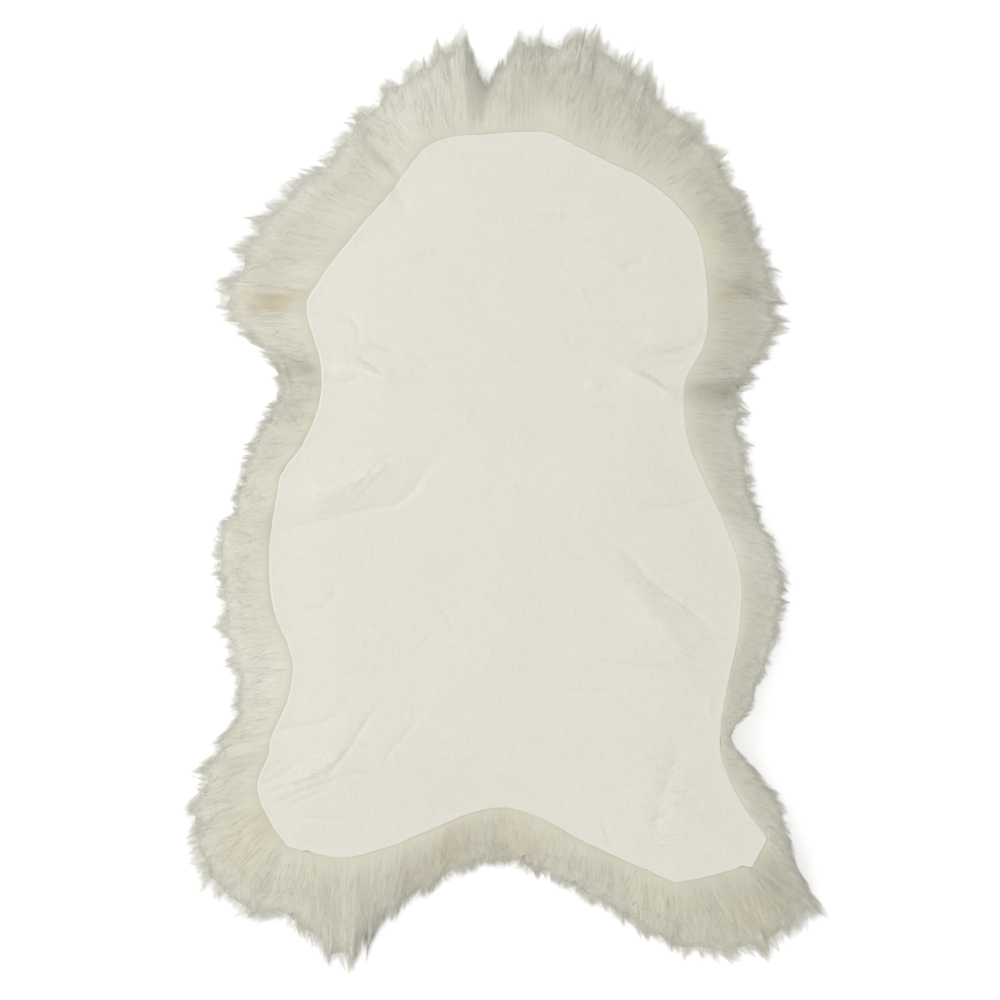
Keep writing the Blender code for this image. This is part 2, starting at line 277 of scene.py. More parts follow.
PARTINGS_MM = (
    Parting(-176, 436, 13, 9), Parting(-22, 470, -1.5, 20), Parting(300, 248, 6, 8),
    Parting(272, 122, 13, 13), Parting(290, -20, 6, 5), Parting(264, -276, 10, 12),
    Parting(0, -400, 9, 16), Parting(-60, -432, 4, 8), Parting(-262, 150, 14, 20),
    Parting(-270, 100, 9, 16), Parting(-300, 268, 6, 9), Parting(-336, -292, 5, 7),
    Parting(312, -320, 6, 9),
)


@dataclass(frozen=True)
class Wisp:
    """A long pointed lock that stands out of the wool's ends."""

    x: float
    y: float
    width: float


WISPS_MM = (
    Wisp(-75, 540, 9), Wisp(-53, 543, 8), Wisp(21, 545, 9), Wisp(41, 545, 13), Wisp(84, 551, 11),
    Wisp(104, 536, 9), Wisp(149, 512, 10), Wisp(169, 500, 9), Wisp(227, 443, 10), Wisp(335, 233, 5),
    Wisp(337, 206, 6), Wisp(333, -96, 8), Wisp(337, -133, 8), Wisp(372, -480, 12),
    Wisp(350, -505, 11), Wisp(311, -537, 10), Wisp(208, -529, 9), Wisp(-158, -541, 8),
    Wisp(-179, -549, 13), Wisp(-205, -549, 12), Wisp(-370, -396, 11), Wisp(-334, 252, 9),
    Wisp(-179, 453, 9), Wisp(-142, 486, 8),
)


class Tint(Enum):
    """The tints laid on the wool: brown and yellow staining, and painted shade and painted light."""

    TAN = (0.590, 0.497, 0.332)
    STRAW = (0.800, 0.745, 0.540)
    # Painted shade for the wool's partings and hollows, with some dirt.
    PAINTED_SHADE_AND_DIRT = (0.470, 0.455, 0.350)
    # Paler wool, also painted light over the shade at the neck's parting.
    PALE_AND_PAINTED_LIGHT = (0.965, 0.957, 0.880)


@dataclass(frozen=True)
class TintedPatch:
    """A soft patch of tinted wool: its middle, its half sizes round and out, and its strength."""

    x: float
    y: float
    half_round: float
    half_out: float
    strength: float


# Tinted patches of the wool: real staining, and patches of painted shade and painted light.
STAINS_AND_PAINTED_LIGHT_MM = {
    # Brown wool at the left shoulder, the arch, the right leg and the right shoulder.
    Tint.TAN: (
        TintedPatch(-270, 231, 12, 28, 1.00), TintedPatch(-290, 222, 9, 16, 0.70),
        TintedPatch(-244, 242, 6, 22, 0.60), TintedPatch(-62, -402, 34, 30, 0.42),
        TintedPatch(16, -402, 40, 30, 0.34), TintedPatch(-102, -432, 28, 30, 0.34),
        TintedPatch(306, -424, 20, 24, 0.30), TintedPatch(-285, -378, 26, 40, 0.10),
        TintedPatch(22, 470, 26, 30, 0.10), TintedPatch(258, 238, 7, 13, 0.80),
    ),
    # Yellower wool at the legs, the arch and the right shoulder.
    Tint.STRAW: (
        TintedPatch(200, -490, 120, 60, 0.34), TintedPatch(294, -482, 34, 32, 0.80),
        TintedPatch(40, -420, 120, 60, 0.25), TintedPatch(-190, -500, 70, 60, 0.25),
        TintedPatch(240, 380, 110, 60, 0.25), TintedPatch(-300, -400, 44, 60, 0.40),
        TintedPatch(-230, -450, 60, 40, 0.30), TintedPatch(250, 300, 50, 60, 0.30),
    ),
    # Darker, duller wool: painted shade in the partings, the hollows at the waists and beside the hide's edge,
    # with some dirt.
    Tint.PAINTED_SHADE_AND_DIRT: (
        TintedPatch(-234, 153, 10, 28, 1.00), TintedPatch(-250, 128, 30, 36, 0.42),
        TintedPatch(-238, 68, 22, 20, 0.20), TintedPatch(-272, 60, 44, 46, 0.24),
        TintedPatch(-296, -14, 36, 60, 0.22), TintedPatch(280, 248, 10, 30, 0.90),
        TintedPatch(256, 128, 12, 34, 0.76), TintedPatch(-222, 140, 34, 12, 0.70),
        TintedPatch(262, 205, 70, 60, 0.26), TintedPatch(300, -275, 30, 24, 0.12),
        TintedPatch(316, -446, 30, 50, 0.60), TintedPatch(246, -458, 50, 34, 0.40),
        TintedPatch(115, -436, 60, 40, 0.22), TintedPatch(-276, -380, 36, 24, 0.18),
        TintedPatch(-150, 440, 12, 40, 0.16), TintedPatch(-236, 110, 22, 40, 0.54),
        TintedPatch(-188, -455, 34, 30, 0.20), TintedPatch(-318, -324, 36, 30, 0.18),
        TintedPatch(-300, -92, 44, 40, 0.12), TintedPatch(-262, 297, 40, 24, 0.20),
        TintedPatch(-165, 378, 40, 40, 0.14), TintedPatch(78, 487, 60, 28, 0.24), TintedPatch(165, 438, 60, 28, 0.18),
        TintedPatch(272, 310, 60, 24, 0.42), TintedPatch(290, 232, 30, 30, 0.30), TintedPatch(270, 124, 20, 30, 0.40),
        TintedPatch(282, -215, 40, 40, 0.20), TintedPatch(262, -496, 44, 24, 0.24),
        TintedPatch(-306, 0, 40, 20, 0.20),
    ),
    # Paler wool at the neck and on the flanks; the patch at the neck's parting is painted light over the shade
    # there.
    Tint.PALE_AND_PAINTED_LIGHT: (
        TintedPatch(-21, 466, 14, 20, 0.25), TintedPatch(-110, 470, 60, 50, 0.35),
        TintedPatch(-320, 280, 60, 24, 0.25), TintedPatch(-272, -196, 40, 30, 0.30),
        TintedPatch(300, -60, 50, 40, 0.35),
    ),
}


# ---- Curves, noise and nets.


def bell(distance: Array) -> Array:
    """Returns 1 at no distance, falling softly to nearly 0 at a distance of two."""
    return np.exp(-(distance**2))


def unit(vectors: Array) -> Array:
    """Returns vectors, which lie along the last axis, at a length of one."""
    return vectors / np.maximum(np.linalg.norm(vectors, axis=-1, keepdims=True), 1e-9)


def inward_from(loop: Array) -> Array:
    """Returns the level direction into a closed outline that runs clockwise, at each of its points."""
    run = np.roll(loop, -1, axis=0) - np.roll(loop, 1, axis=0)
    return np.stack((run[:, 1], -run[:, 0]), axis=1) / np.linalg.norm(run, axis=1)[:, None]


def curve_between(points: Array, shares: Array) -> Array:
    """Follows a smooth curve between the middle two of four points (centripetal Catmull-Rom).

    Args:
        points: The four points, one a row.
        shares: Shares of the way from the second point to the third.

    Returns:
        One point a share.
    """
    knots = np.concatenate(([0.0], np.cumsum(np.sqrt(np.linalg.norm(np.diff(points, axis=0), axis=1)))))
    here = (knots[1] + (knots[2] - knots[1]) * shares)[:, None]

    def blend(first: Array, second: Array, low: int, high: int) -> Array:
        """Mixes two points by where the curve is between two knots."""
        return (first * (knots[high] - here) + second * (here - knots[low])) / (knots[high] - knots[low])

    start, middle, end = (blend(points[i], points[i + 1], i, i + 1) for i in range(3))
    return blend(blend(start, middle, 0, 2), blend(middle, end, 1, 3), 1, 2)


def periodic_noise(around: Array, bumps: int, seed: int) -> Array:
    """Smooth random values from -1 to 1 that meet again after one turn.

    Args:
        around: Places round the rug, from 0 to 1.
        bumps: How many random values one turn has.
        seed: The random seed.

    Returns:
        One value a place.
    """
    knots = np.random.default_rng(seed).uniform(-1, 1, bumps)
    place = (around % 1.0) * bumps
    low = np.floor(place).astype(int)
    share = place - low
    share = share * share * (3 - 2 * share)
    return knots[low % bumps] * (1 - share) + knots[(low + 1) % bumps] * share


def distance_to_path(points: Array, path: Array) -> tuple[Array, Array, Array]:
    """Measures from points to a path of straight runs.

    Args:
        points: The points, one a row.
        path: The path's points, one a row.

    Returns:
        The distances, which are below zero on the path's right, how far along the path the nearest
        place is, from 0 to 1, and the distance past an end of the path.
    """
    runs = np.diff(path, axis=0)
    lengths = np.linalg.norm(runs, axis=1)
    starts = np.concatenate(([0.0], np.cumsum(lengths)))
    best = np.full(len(points), np.inf)
    signed, along = np.zeros(len(points)), np.zeros(len(points))
    for i, (run, length) in enumerate(zip(runs, lengths)):
        offset = points - path[i]
        share = np.clip(offset @ run / length**2, 0, 1)
        gap = offset - share[:, None] * run
        distance = np.linalg.norm(gap, axis=1)
        side = np.sign(run[0] * offset[:, 1] - run[1] * offset[:, 0])
        closer = distance < best
        best = np.where(closer, distance, best)
        signed = np.where(closer, distance * side, signed)
        along = np.where(closer, (starts[i] + share * length) / starts[-1], along)
    return signed, along, best


def distance_to_loop(points: Array, loop: Array) -> Array:
    """Returns how far each point is from a closed outline.

    Args:
        points: The points, one a row.
        loop: The outline's points.

    Returns:
        The distances.
    """
    following = np.roll(loop, -1, axis=0)
    runs = following - loop
    squares = (runs**2).sum(1)
    nearest = np.empty(len(points))
    for first in range(0, len(points), 2000):
        part = slice(first, first + 2000)
        offset = points[part, None] - loop[None]
        share = np.clip((offset * runs).sum(2) / squares, 0, 1)
        nearest[part] = np.linalg.norm(offset - share[..., None] * runs, axis=2).min(1)
    return nearest


def is_inside(points: Array, loop: Array) -> Array:
    """Says for each point whether it lies inside a closed outline.

    Args:
        points: The points, one a row.
        loop: The outline's points.

    Returns:
        True or false for each.
    """
    first, second = loop, np.roll(loop, -1, axis=0)
    rise = np.where(second[:, 1] == first[:, 1], 1e-12, second[:, 1] - first[:, 1])
    inside = np.empty(len(points), bool)
    for start in range(0, len(points), 4000):
        x, y = points[start : start + 4000, 0, None], points[start : start + 4000, 1, None]
        spans = (first[:, 1] > y) != (second[:, 1] > y)
        crossing = first[:, 0] + (second[:, 0] - first[:, 0]) * (y - first[:, 1]) / rise
        inside[start : start + 4000] = (spans & (x < crossing)).sum(1) % 2 == 1
    return inside


def staggered_points(loop: Array, step: float) -> Array:
    """Returns evenly spaced points in staggered rows inside a closed outline.

    Args:
        loop: The outline's points.
        step: The spacing.

    Returns:
        The points, one a row.
    """
    low, high = loop.min(0), loop.max(0)
    row_step = step * math.sqrt(3) / 2
    rows, columns = math.ceil((high[1] - low[1]) / row_step), math.ceil((high[0] - low[0]) / step)
    row, column = np.meshgrid(np.arange(rows), np.arange(columns), indexing="ij")
    x = low[0] + (column + 0.5 * (row % 2)) * step
    y = low[1] + (row + 0.5) * row_step
    points = np.stack((x.ravel(), y.ravel()), axis=1)
    return points[is_inside(points, loop)]


def fill_net(rim: Array, inner: Array) -> tuple[Array, Array]:
    """Joins a closed outline and the points inside it by a net of triangles.

    Args:
        rim: The outline's points, one a row.
        inner: The points inside it.

    Returns:
        All points, the rim's first, and the corners of each triangle.
    """
    points = np.concatenate((rim, inner))
    edges = [(i, (i + 1) % len(rim)) for i in range(len(rim))]
    _, _, faces, origins, _, _ = delaunay_2d_cdt([Vector(p) for p in points], edges, [], 1, 1e-7)
    source = [origin[0] for origin in origins]
    return points, np.array([[source[corner] for corner in face] for face in faces])


# ---- Meshes.


def mesh_object(
    name: str,
    places: Array,
    corners: Array,
    face_starts: Array,
    material: Material,
    bake_map: Array | None = None,
) -> bpy.types.Object:
    """Makes a smooth object of a mesh that is given as arrays.

    Args:
        name: The object's name.
        places: The vertices, one a row.
        corners: The vertex of each corner, face after face.
        face_starts: The first corner of each face.
        material: The object's material.
        bake_map: The place of each corner on the surface's own map, if it has one.

    Returns:
        The new object, at the origin.
    """
    mesh = bpy.data.meshes.new(name)
    mesh.vertices.add(len(places))
    mesh.vertices.foreach_set("co", places.astype(np.float32).ravel())
    mesh.loops.add(len(corners))
    mesh.loops.foreach_set("vertex_index", corners.astype(np.int32))
    mesh.polygons.add(len(face_starts))
    mesh.polygons.foreach_set("loop_start", face_starts.astype(np.int32))
    mesh.update(calc_edges=True)
    if bake_map is not None:
        mesh.uv_layers.new(name=BAKE_MAP).uv.foreach_set("vector", bake_map.astype(np.float32).ravel())
    mesh.shade_smooth()
    mesh.materials.append(material)
    thing = bpy.data.objects.new(name, mesh)
    bpy.context.scene.collection.objects.link(thing)
    return thing


def closed_sheet(
    lower: Array, lower_net: Array, upper: Array, upper_net: Array, rim: int
) -> tuple[Array, Array, Array]:
    """Joins an underside and an upper side round their rims, so that they close a sheet or slab.

    Args:
        lower: The points of the underside, whose rim runs clockwise as seen from above.
        lower_net: The corners of its triangles, turning left as seen from above.
        upper: The points of the upper side, with the same rim.
        upper_net: The corners of its triangles.
        rim: How many points, the first ones, are the rim.

    Returns:
        The vertices, the corners of the faces, and each face's first corner.
    """
    count = len(lower)
    first = np.arange(rim)
    second = (first + 1) % rim
    walls = np.stack((second, first, first + count, second + count), axis=1)
    corners = np.concatenate((lower_net[:, ::-1].ravel(), (upper_net + count).ravel(), walls.ravel()))
    triangles = len(lower_net) + len(upper_net)
    starts = np.concatenate((np.arange(triangles) * 3, 3 * triangles + np.arange(rim) * 4))
    return np.concatenate((lower, upper)), corners, starts


# ---- Materials.


class NodeBoard:
    """Adds nodes to a tree and joins them, with plain numbers where nothing is joined."""

    def __init__(self, tree: Tree) -> None:
        """Takes the tree to work in."""
        self.tree = tree

    def add(self, kind: str, inputs: dict | None = None, **settings: object) -> Node:
        """Adds a node.

        Args:
            kind: The node's type name.
            inputs: Numbers, colours or sockets for its inputs, by name or number.
            **settings: Values for the node's own settings.

        Returns:
            The new node.
        """
        node = self.tree.nodes.new(kind)
        for name, value in settings.items():
            setattr(node, name, value)
        for key, value in (inputs or {}).items():
            self.feed(node.inputs[key], value)
        return node

    def feed(self, socket: Socket, value: object) -> None:
        """Joins a socket to another, or sets its number or colour.

        Args:
            socket: The input.
            value: An output to join to it, or its number or colour.
        """
        if isinstance(value, Socket):
            self.tree.links.new(value, socket)
        else:
            socket.default_value = value

    def math(self, operation: str, first: object, second: object = 0.0, clamp: bool = False) -> Socket:
        """Does one step of arithmetic.

        Args:
            operation: Blender's name of the step.
            first: The first number or socket.
            second: The second number or socket.
            clamp: Whether the result is kept from 0 to 1.

        Returns:
            The result's socket.
        """
        node = self.add("ShaderNodeMath", {0: first, 1: second}, operation=operation, use_clamp=clamp)
        return node.outputs[0]

    def mix(self, share: object, first: object, second: Color) -> Socket:
        """Mixes a colour into another one.

        Args:
            share: How much of the second colour is used.
            first: The first colour, or its socket.
            second: The second colour.

        Returns:
            The mixed colour's socket.
        """
        node = self.add("ShaderNodeMix", data_type="RGBA")
        start = (*first, 1.0) if isinstance(first, tuple) else first
        for socket, value in zip((node.inputs[0], node.inputs[6], node.inputs[7]), (share, start, (*second, 1.0))):
            self.feed(socket, value)
        return node.outputs[2]

    def ramp(self, value: object, stops: tuple[tuple[float, Color], ...]) -> Socket:
        """Turns a number into a colour.

        Args:
            value: The number's socket.
            stops: Places from 0 to 1 with their colours.

        Returns:
            The colour's socket.
        """
        node = self.add("ShaderNodeValToRGB", {0: value})
        elements = node.color_ramp.elements
        while len(elements) < len(stops):
            elements.new(0.5)
        for element, (place, color) in zip(elements, stops):
            element.position = place
            element.color = (*color, 1.0)
        return node.outputs[0]

    def spread(self, value: object, low: float, high: float, to_low: float, to_high: float) -> Socket:
        """Stretches a range of numbers onto another one and clamps the result.

        Args:
            value: The number's socket.
            low: The start of the range.
            high: The end of the range.
            to_low: The result at the start.
            to_high: The result at the end.

        Returns:
            The result's socket.
        """
        node = self.add("ShaderNodeMapRange", {0: value, 1: low, 2: high, 3: to_low, 4: to_high})
        return node.outputs[0]

    def placed(self, group: Tree, **values: object) -> Socket:
        """Places a group.

        Args:
            group: The group.
            **values: Numbers or sockets for its inputs, by name.

        Returns:
            Its first output.
        """
        node = self.add("ShaderNodeGroup", node_tree=group)
        for name, value in values.items():
            self.feed(node.inputs[name], value)
        return node.outputs[0]

    def bump(self, height: Socket, strength: float, distance: float) -> Socket:
        """Turns a height into a normal.

        Args:
            height: The height's socket.
            strength: How strongly it shows, from 0 to 1.
            distance: How far a height of one stands out.

        Returns:
            The normal's socket.
        """
        values = {"Strength": strength, "Distance": distance, "Height": height}
        return self.add("ShaderNodeBump", values).outputs["Normal"]


def new_material(name: str, values: dict[str, object]) -> tuple[Material, NodeBoard, Node]:
    """Makes a material.

    Args:
        name: Its name.
        values: What is the same all over, by the names of the shader's sockets.

    Returns:
        The material, a board to work on it, and its shader.
    """
    material = bpy.data.materials.new(name)
    material.use_nodes = True
    shader = material.node_tree.nodes["Principled BSDF"]
    for label, value in values.items():
        shader.inputs[label].default_value = value
    return material, NodeBoard(material.node_tree), shader


class GroupName(Enum):
    """The shared shader effects."""

    STREAKS = "fibre_streaks"
    GRAIN = "soft_grain"
    CRINKLE = "fine_crinkle"


def new_group(
    name: GroupName, numbers: tuple[tuple[str, float], ...], vector: bool, out: str
) -> tuple[Tree, NodeBoard, Node, Node]:
    """Makes a node group with number inputs and one number output.

    Args:
        name: The group's name.
        numbers: The number inputs with their usual values.
        vector: Whether the group also takes a place.
        out: The output's name.

    Returns:
        The group, a board to work on it, its input node and its output node.
    """
    group = bpy.data.node_groups.new(name.value, "ShaderNodeTree")
    if vector:
        group.interface.new_socket("Place", in_out="INPUT", socket_type="NodeSocketVector")
    for label, value in numbers:
        group.interface.new_socket(label, in_out="INPUT", socket_type="NodeSocketFloat").default_value = value
    group.interface.new_socket(out, in_out="OUTPUT", socket_type="NodeSocketFloat")
    board = NodeBoard(group)
    return group, board, board.add("NodeGroupInput"), board.add("NodeGroupOutput")


def streaks_group() -> Tree:
    """Builds the streaks that fibres make, which meet again after one turn round the rug."""
    inputs = (("Around", 0.0), ("Along", 0.0), ("Streaks", 1000.0), ("Length", 1.0), ("Detail", 2.0))
    group, board, taken, given = new_group(GroupName.STREAKS, inputs, False, "Streak")
    turn = board.math("MULTIPLY", taken.outputs["Around"], math.tau)
    scale = board.math("DIVIDE", taken.outputs["Streaks"], math.tau)
    x = board.math("MULTIPLY", board.math("COSINE", turn), scale)
    y = board.math("MULTIPLY", board.math("SINE", turn), scale)
    z = board.math("DIVIDE", taken.outputs["Along"], taken.outputs["Length"])
    place = board.add("ShaderNodeCombineXYZ", {0: x, 1: y, 2: z})
    noise = board.add(
        "ShaderNodeTexNoise", {"Vector": place.outputs[0], "Scale": 1.0, "Detail": taken.outputs["Detail"]}
    )
    board.feed(given.inputs["Streak"], noise.outputs["Fac"])
    return group


def grain_group() -> Tree:
    """Builds an even soft grain for felt and suede."""
    inputs = (("Size", 0.01), ("Detail", 3.0), ("Stretch", 1.0))
    group, board, taken, given = new_group(GroupName.GRAIN, inputs, True, "Grain")
    scale = board.math("DIVIDE", 1.0, taken.outputs["Size"])
    stretched = board.add("ShaderNodeCombineXYZ", {0: 1.0, 1: taken.outputs["Stretch"], 2: 1.0})
    place = board.add(
        "ShaderNodeVectorMath", {0: taken.outputs["Place"], 1: stretched.outputs[0]}, operation="MULTIPLY"
    )
    noise = board.add(
        "ShaderNodeTexNoise",
        {"Vector": place.outputs[0], "Scale": scale, "Detail": taken.outputs["Detail"], "Roughness": 0.6},
    )
    board.feed(given.inputs["Grain"], noise.outputs["Fac"])
    return group


def crinkle_group() -> Tree:
    """Builds broken thin lines, as in wrinkled leather."""
    group, board, taken, given = new_group(GroupName.CRINKLE, (("Size", 0.006), ("Width", 0.05)), True, "Line")
    scale = board.math("DIVIDE", 1.0, taken.outputs["Size"])
    values = {"Vector": taken.outputs["Place"], "Scale": scale, "Detail": 2.0, "Distortion": 0.2}
    waves = board.add("ShaderNodeTexNoise", values)
    off = board.math("ABSOLUTE", board.math("SUBTRACT", waves.outputs["Fac"], 0.5))
    line = board.math("SUBTRACT", 1.0, board.math("DIVIDE", off, taken.outputs["Width"]), clamp=True)
    values = {"Vector": taken.outputs["Place"], "Scale": board.math("MULTIPLY", scale, 0.9), "Detail": 3.0}
    gaps = board.add("ShaderNodeTexNoise", values)
    broken = board.spread(gaps.outputs["Fac"], 0.46, 0.62, 0.0, 1.0)
    board.feed(given.inputs["Line"], board.math("MULTIPLY", line, broken))
    return group


@dataclass(frozen=True)
class LeatherFinish:
    """The flesh side of a tanned hide: pale, matt and faintly mottled, with a soft nap."""

    pale: Color = (0.915, 0.897, 0.803)
    warm: Color = (0.905, 0.877, 0.775)
    cool: Color = (0.896, 0.888, 0.805)
    # The darker colour of the grain and wrinkles, also used for the painted shade in the fold troughs and the
    # painted shadow at the cut edge.
    shade: Color = (0.600, 0.570, 0.470)
    # Painted highlight along the cut edge and on the crests of the folds.
    rim: Color = (0.960, 0.945, 0.870)
    wrinkle_stretch: tuple[float, float, float] = (0.85, 2.3, 1.0)
    roughness: float = 0.82
    sheen: float = 0.10
    specular: float = 0.25

    def make(self, grain: Tree, crinkle: Tree) -> Material:
        """Builds the leather's material.

        Args:
            grain: The group of the soft grain.
            crinkle: The group of the fine wrinkles.

        Returns:
            The material.
        """
        numbers = {"Roughness": self.roughness, "Sheen Weight": self.sheen, "Specular IOR Level": self.specular}
        material, board, shader = new_material("tanned_leather", numbers)
        place = board.add("ShaderNodeTexCoord").outputs["Object"]
        # The leather's attribute brings painted shade and highlight at the folds, close wrinkles, a painted
        # highlight on the cut edge and a painted shadow line at it.
        attribute = board.add("ShaderNodeAttribute", attribute_name=MARKS_AND_PAINTED_LIGHT)
        marks, contact_shadow = attribute.outputs["Color"], attribute.outputs["Alpha"]
        fold_shade_and_highlight, close, rim = board.add("ShaderNodeSeparateColor", {0: marks}).outputs[:3]
        pulled = board.add("ShaderNodeVectorMath", {0: place, 1: self.wrinkle_stretch}, operation="MULTIPLY")

        def grained(size: float, detail: float, stretch: float = 1.0) -> Socket:
            """Places one grain on the hide."""
            return board.placed(grain, Place=place, Size=size, Detail=detail, Stretch=stretch)

        def lined(size: float, width: float) -> Socket:
            """Places one set of wrinkles on the hide."""
            return board.placed(crinkle, Place=pulled.outputs[0], Size=size, Width=width)

        color = board.mix(board.spread(grained(0.110, 3.0), 0.42, 0.66, 0.0, 0.9), self.pale, self.warm)
        color = board.mix(board.spread(grained(0.075, 4.0, 1.3), 0.50, 0.72, 0.0, 0.9), color, self.cool)
        nap, pores = grained(0.0022, 3.0), grained(0.0065, 5.0, 0.6)
        wide_lines, fine_lines = lined(0.016, 0.020), lined(0.0055, 0.045)
        patches = board.spread(grained(0.050, 3.0), 0.40, 0.66, 0.10, 0.45)
        closeness = board.math("MAXIMUM", close, patches)
        lines = board.math("MULTIPLY", board.math("MAXIMUM", fine_lines, wide_lines), closeness)
        for darker in (
            board.spread(nap, 0.30, 0.70, 0.0, 0.13),
            board.spread(pores, 0.50, 0.72, 0.0, 0.10),
            board.math("MULTIPLY", lines, 0.09),
            board.math("MULTIPLY", close, 0.015),
            # Painted shade in the fold troughs.
            board.spread(fold_shade_and_highlight, 0.5, 1.0, 0.0, 0.17),
        ):
            color = board.mix(darker, color, self.shade)
        # Painted highlight: the cut edge and the fold crests are lightened towards the rim colour.
        painted_highlight = board.math("MAXIMUM", board.math("MULTIPLY", rim, 0.85), board.spread(fold_shade_and_highlight, 0.1, 0.5, 0.9, 0.0))
        color = board.mix(painted_highlight, color, self.rim)
        # Painted shadow: a thin dark line at the hide's cut edge.
        color = board.mix(board.math("MULTIPLY", contact_shadow, 0.55), color, self.shade)
        board.feed(shader.inputs["Base Color"], color)
        height = board.math("ADD", board.math("MULTIPLY", nap, 0.35), board.math("MULTIPLY", pores, 0.9))
        height = board.math("SUBTRACT", height, board.math("MULTIPLY", lines, 0.5))
        board.feed(shader.inputs["Normal"], board.bump(height, 0.6, 0.0008))
        return material


@dataclass(frozen=True)
class MapPatch:
    """A tinted patch on the wool's own map, for staining and for painted shade and light alike: its middle, half
    sizes and strength.
    """

    around: float
    up: float
    half_around: float
    half_up: float
    strength: float

    def mask(self, board: NodeBoard, around: Socket, along: Socket) -> Socket:
        """Fades from the patch's strength in its middle to nothing outside it.

        Args:
            board: The material's board.
            around: The place round the rug.
            along: The place up the map.

        Returns:
            The mask's socket.
        """
        side = board.math("DIVIDE", board.math("SUBTRACT", around, self.around), self.half_around)
        out = board.math("DIVIDE", board.math("SUBTRACT", along, self.up), self.half_up)
        square = board.math("ADD", board.math("MULTIPLY", side, side), board.math("MULTIPLY", out, out))
        fade = board.math("EXPONENT", board.math("MULTIPLY", square, -1.0))
        return board.math("MULTIPLY", fade, self.strength)


@dataclass(frozen=True)
class WoolFinish:
    """Long white wool: cream at the skin, greyer further out and paler at its ends, where the paler colour is
    painted light against the shade among the close fibres; streaked, and tinted in patches.
    """

    root: Color = (0.780, 0.752, 0.635)
    cream: Color = (0.800, 0.780, 0.655)
    middle: Color = (0.765, 0.747, 0.624)
    outer: Color = (0.750, 0.734, 0.615)
    # Painted light: the ends are paler to lift the shade that the close fibres cast there.
    end: Color = (0.880, 0.868, 0.765)
    tip: Color = (0.880, 0.868, 0.755)
    furrow: Color = (0.680, 0.655, 0.520)
    stops: tuple[float, ...] = (0.14, 0.24, 0.42, 0.62, 0.79, 0.93)
    roughness: float = 0.90
    sheen: float = 0.25
    specular: float = 0.2

    def make(self, name: str, streaks: Tree, stains_and_painted_light: dict[Tint, list[MapPatch]], grooved: bool) -> Material:
        """Builds the wool's material on the wool's own map: round the rug, and from skin to ends.

        Args:
            name: The material's name.
            streaks: The group of the fibre streaks.
            stains_and_painted_light: The tinted patches of each tint on the map, for staining and for painted
                shade and light.
            grooved: Whether the fibres show as fine grooves, as on the bed under the locks.

        Returns:
            The material.
        """
        numbers = {"Roughness": self.roughness, "Sheen Weight": self.sheen, "Specular IOR Level": self.specular}
        material, board, shader = new_material(name, numbers)
        place = board.add("ShaderNodeUVMap", uv_map=BAKE_MAP).outputs[0]
        split = board.add("ShaderNodeSeparateXYZ", {0: place})
        around, along = split.outputs[0], split.outputs[1]

        def streak(count: float, length: float, detail: float) -> Socket:
            """Places one set of streaks on the wool."""
            return board.placed(streaks, Around=around, Along=along, Streaks=count, Length=length, Detail=detail)

        fine, tufts, broad = streak(1500, 0.5, 2.0), streak(240, 0.4, 3.0), streak(44, 0.5, 3.0)
        reach = WOOL_MAP.reach_socket(board, along)
        color = board.ramp(
            board.spread(reach, -0.2, 1.2, 0.0, 1.0),
            tuple(zip(self.stops, (self.root, self.cream, self.middle, self.outer, self.end, self.tip))),
        )
        for streaked, low, most in ((tufts, 0.50, 0.20), (broad, 0.45, 0.22), (fine, 0.45, 0.16)):
            color = board.mix(board.spread(streaked, low, 0.75, 0.0, most), color, self.furrow)
        uneven = board.spread(tufts, 0.30, 0.62, 0.55, 1.0)
        # Each tint is mixed in by its patches: real staining, and painted shade and painted light for some tints.
        for tint, patches in stains_and_painted_light.items():
            masks = [patch.mask(board, around, along) for patch in patches]
            stain_and_painted_light_mask = masks[0]
            for mask in masks[1:]:
                stain_and_painted_light_mask = board.math("MAXIMUM", stain_and_painted_light_mask, mask)
            color = board.mix(board.math("MULTIPLY", stain_and_painted_light_mask, uneven), color, tint.value)
        board.feed(shader.inputs["Base Color"], color)
        if grooved:
            height = board.math("ADD", fine, board.math("MULTIPLY", tufts, 1.5))
            board.feed(shader.inputs["Normal"], board.bump(height, 0.5, 0.001))
        return material


@dataclass(frozen=True)
class FeltFinish:
    """The felted wool under the hide: matted fibre without a direction."""

    pale: Color = (0.740, 0.725, 0.640)
    dull: Color = (0.600, 0.580, 0.490)
    roughness: float = 0.95
    specular: float = 0.2

    def make(self, grain: Tree) -> Material:
        """Builds the felt's material.

        Args:
            grain: The group of the soft grain.

        Returns:
            The material.
        """
        numbers = {"Roughness": self.roughness, "Specular IOR Level": self.specular}
        material, board, shader = new_material("felted_wool", numbers)
        place = board.add("ShaderNodeTexCoord").outputs["Object"]
        locks = board.placed(grain, Place=place, Size=0.022, Detail=4.0, Stretch=0.5)
        fibres = board.placed(grain, Place=place, Size=0.004, Detail=5.0, Stretch=0.35)
        color = board.mix(board.spread(locks, 0.35, 0.70, 0.0, 0.9), self.pale, self.dull)
        board.feed(shader.inputs["Base Color"], color)
        height = board.math("ADD", board.math("MULTIPLY", locks, 3.0), fibres)
        board.feed(shader.inputs["Normal"], board.bump(height, 0.8, 0.002))
        return material


# ---- The outline and the shape of the wool round it.


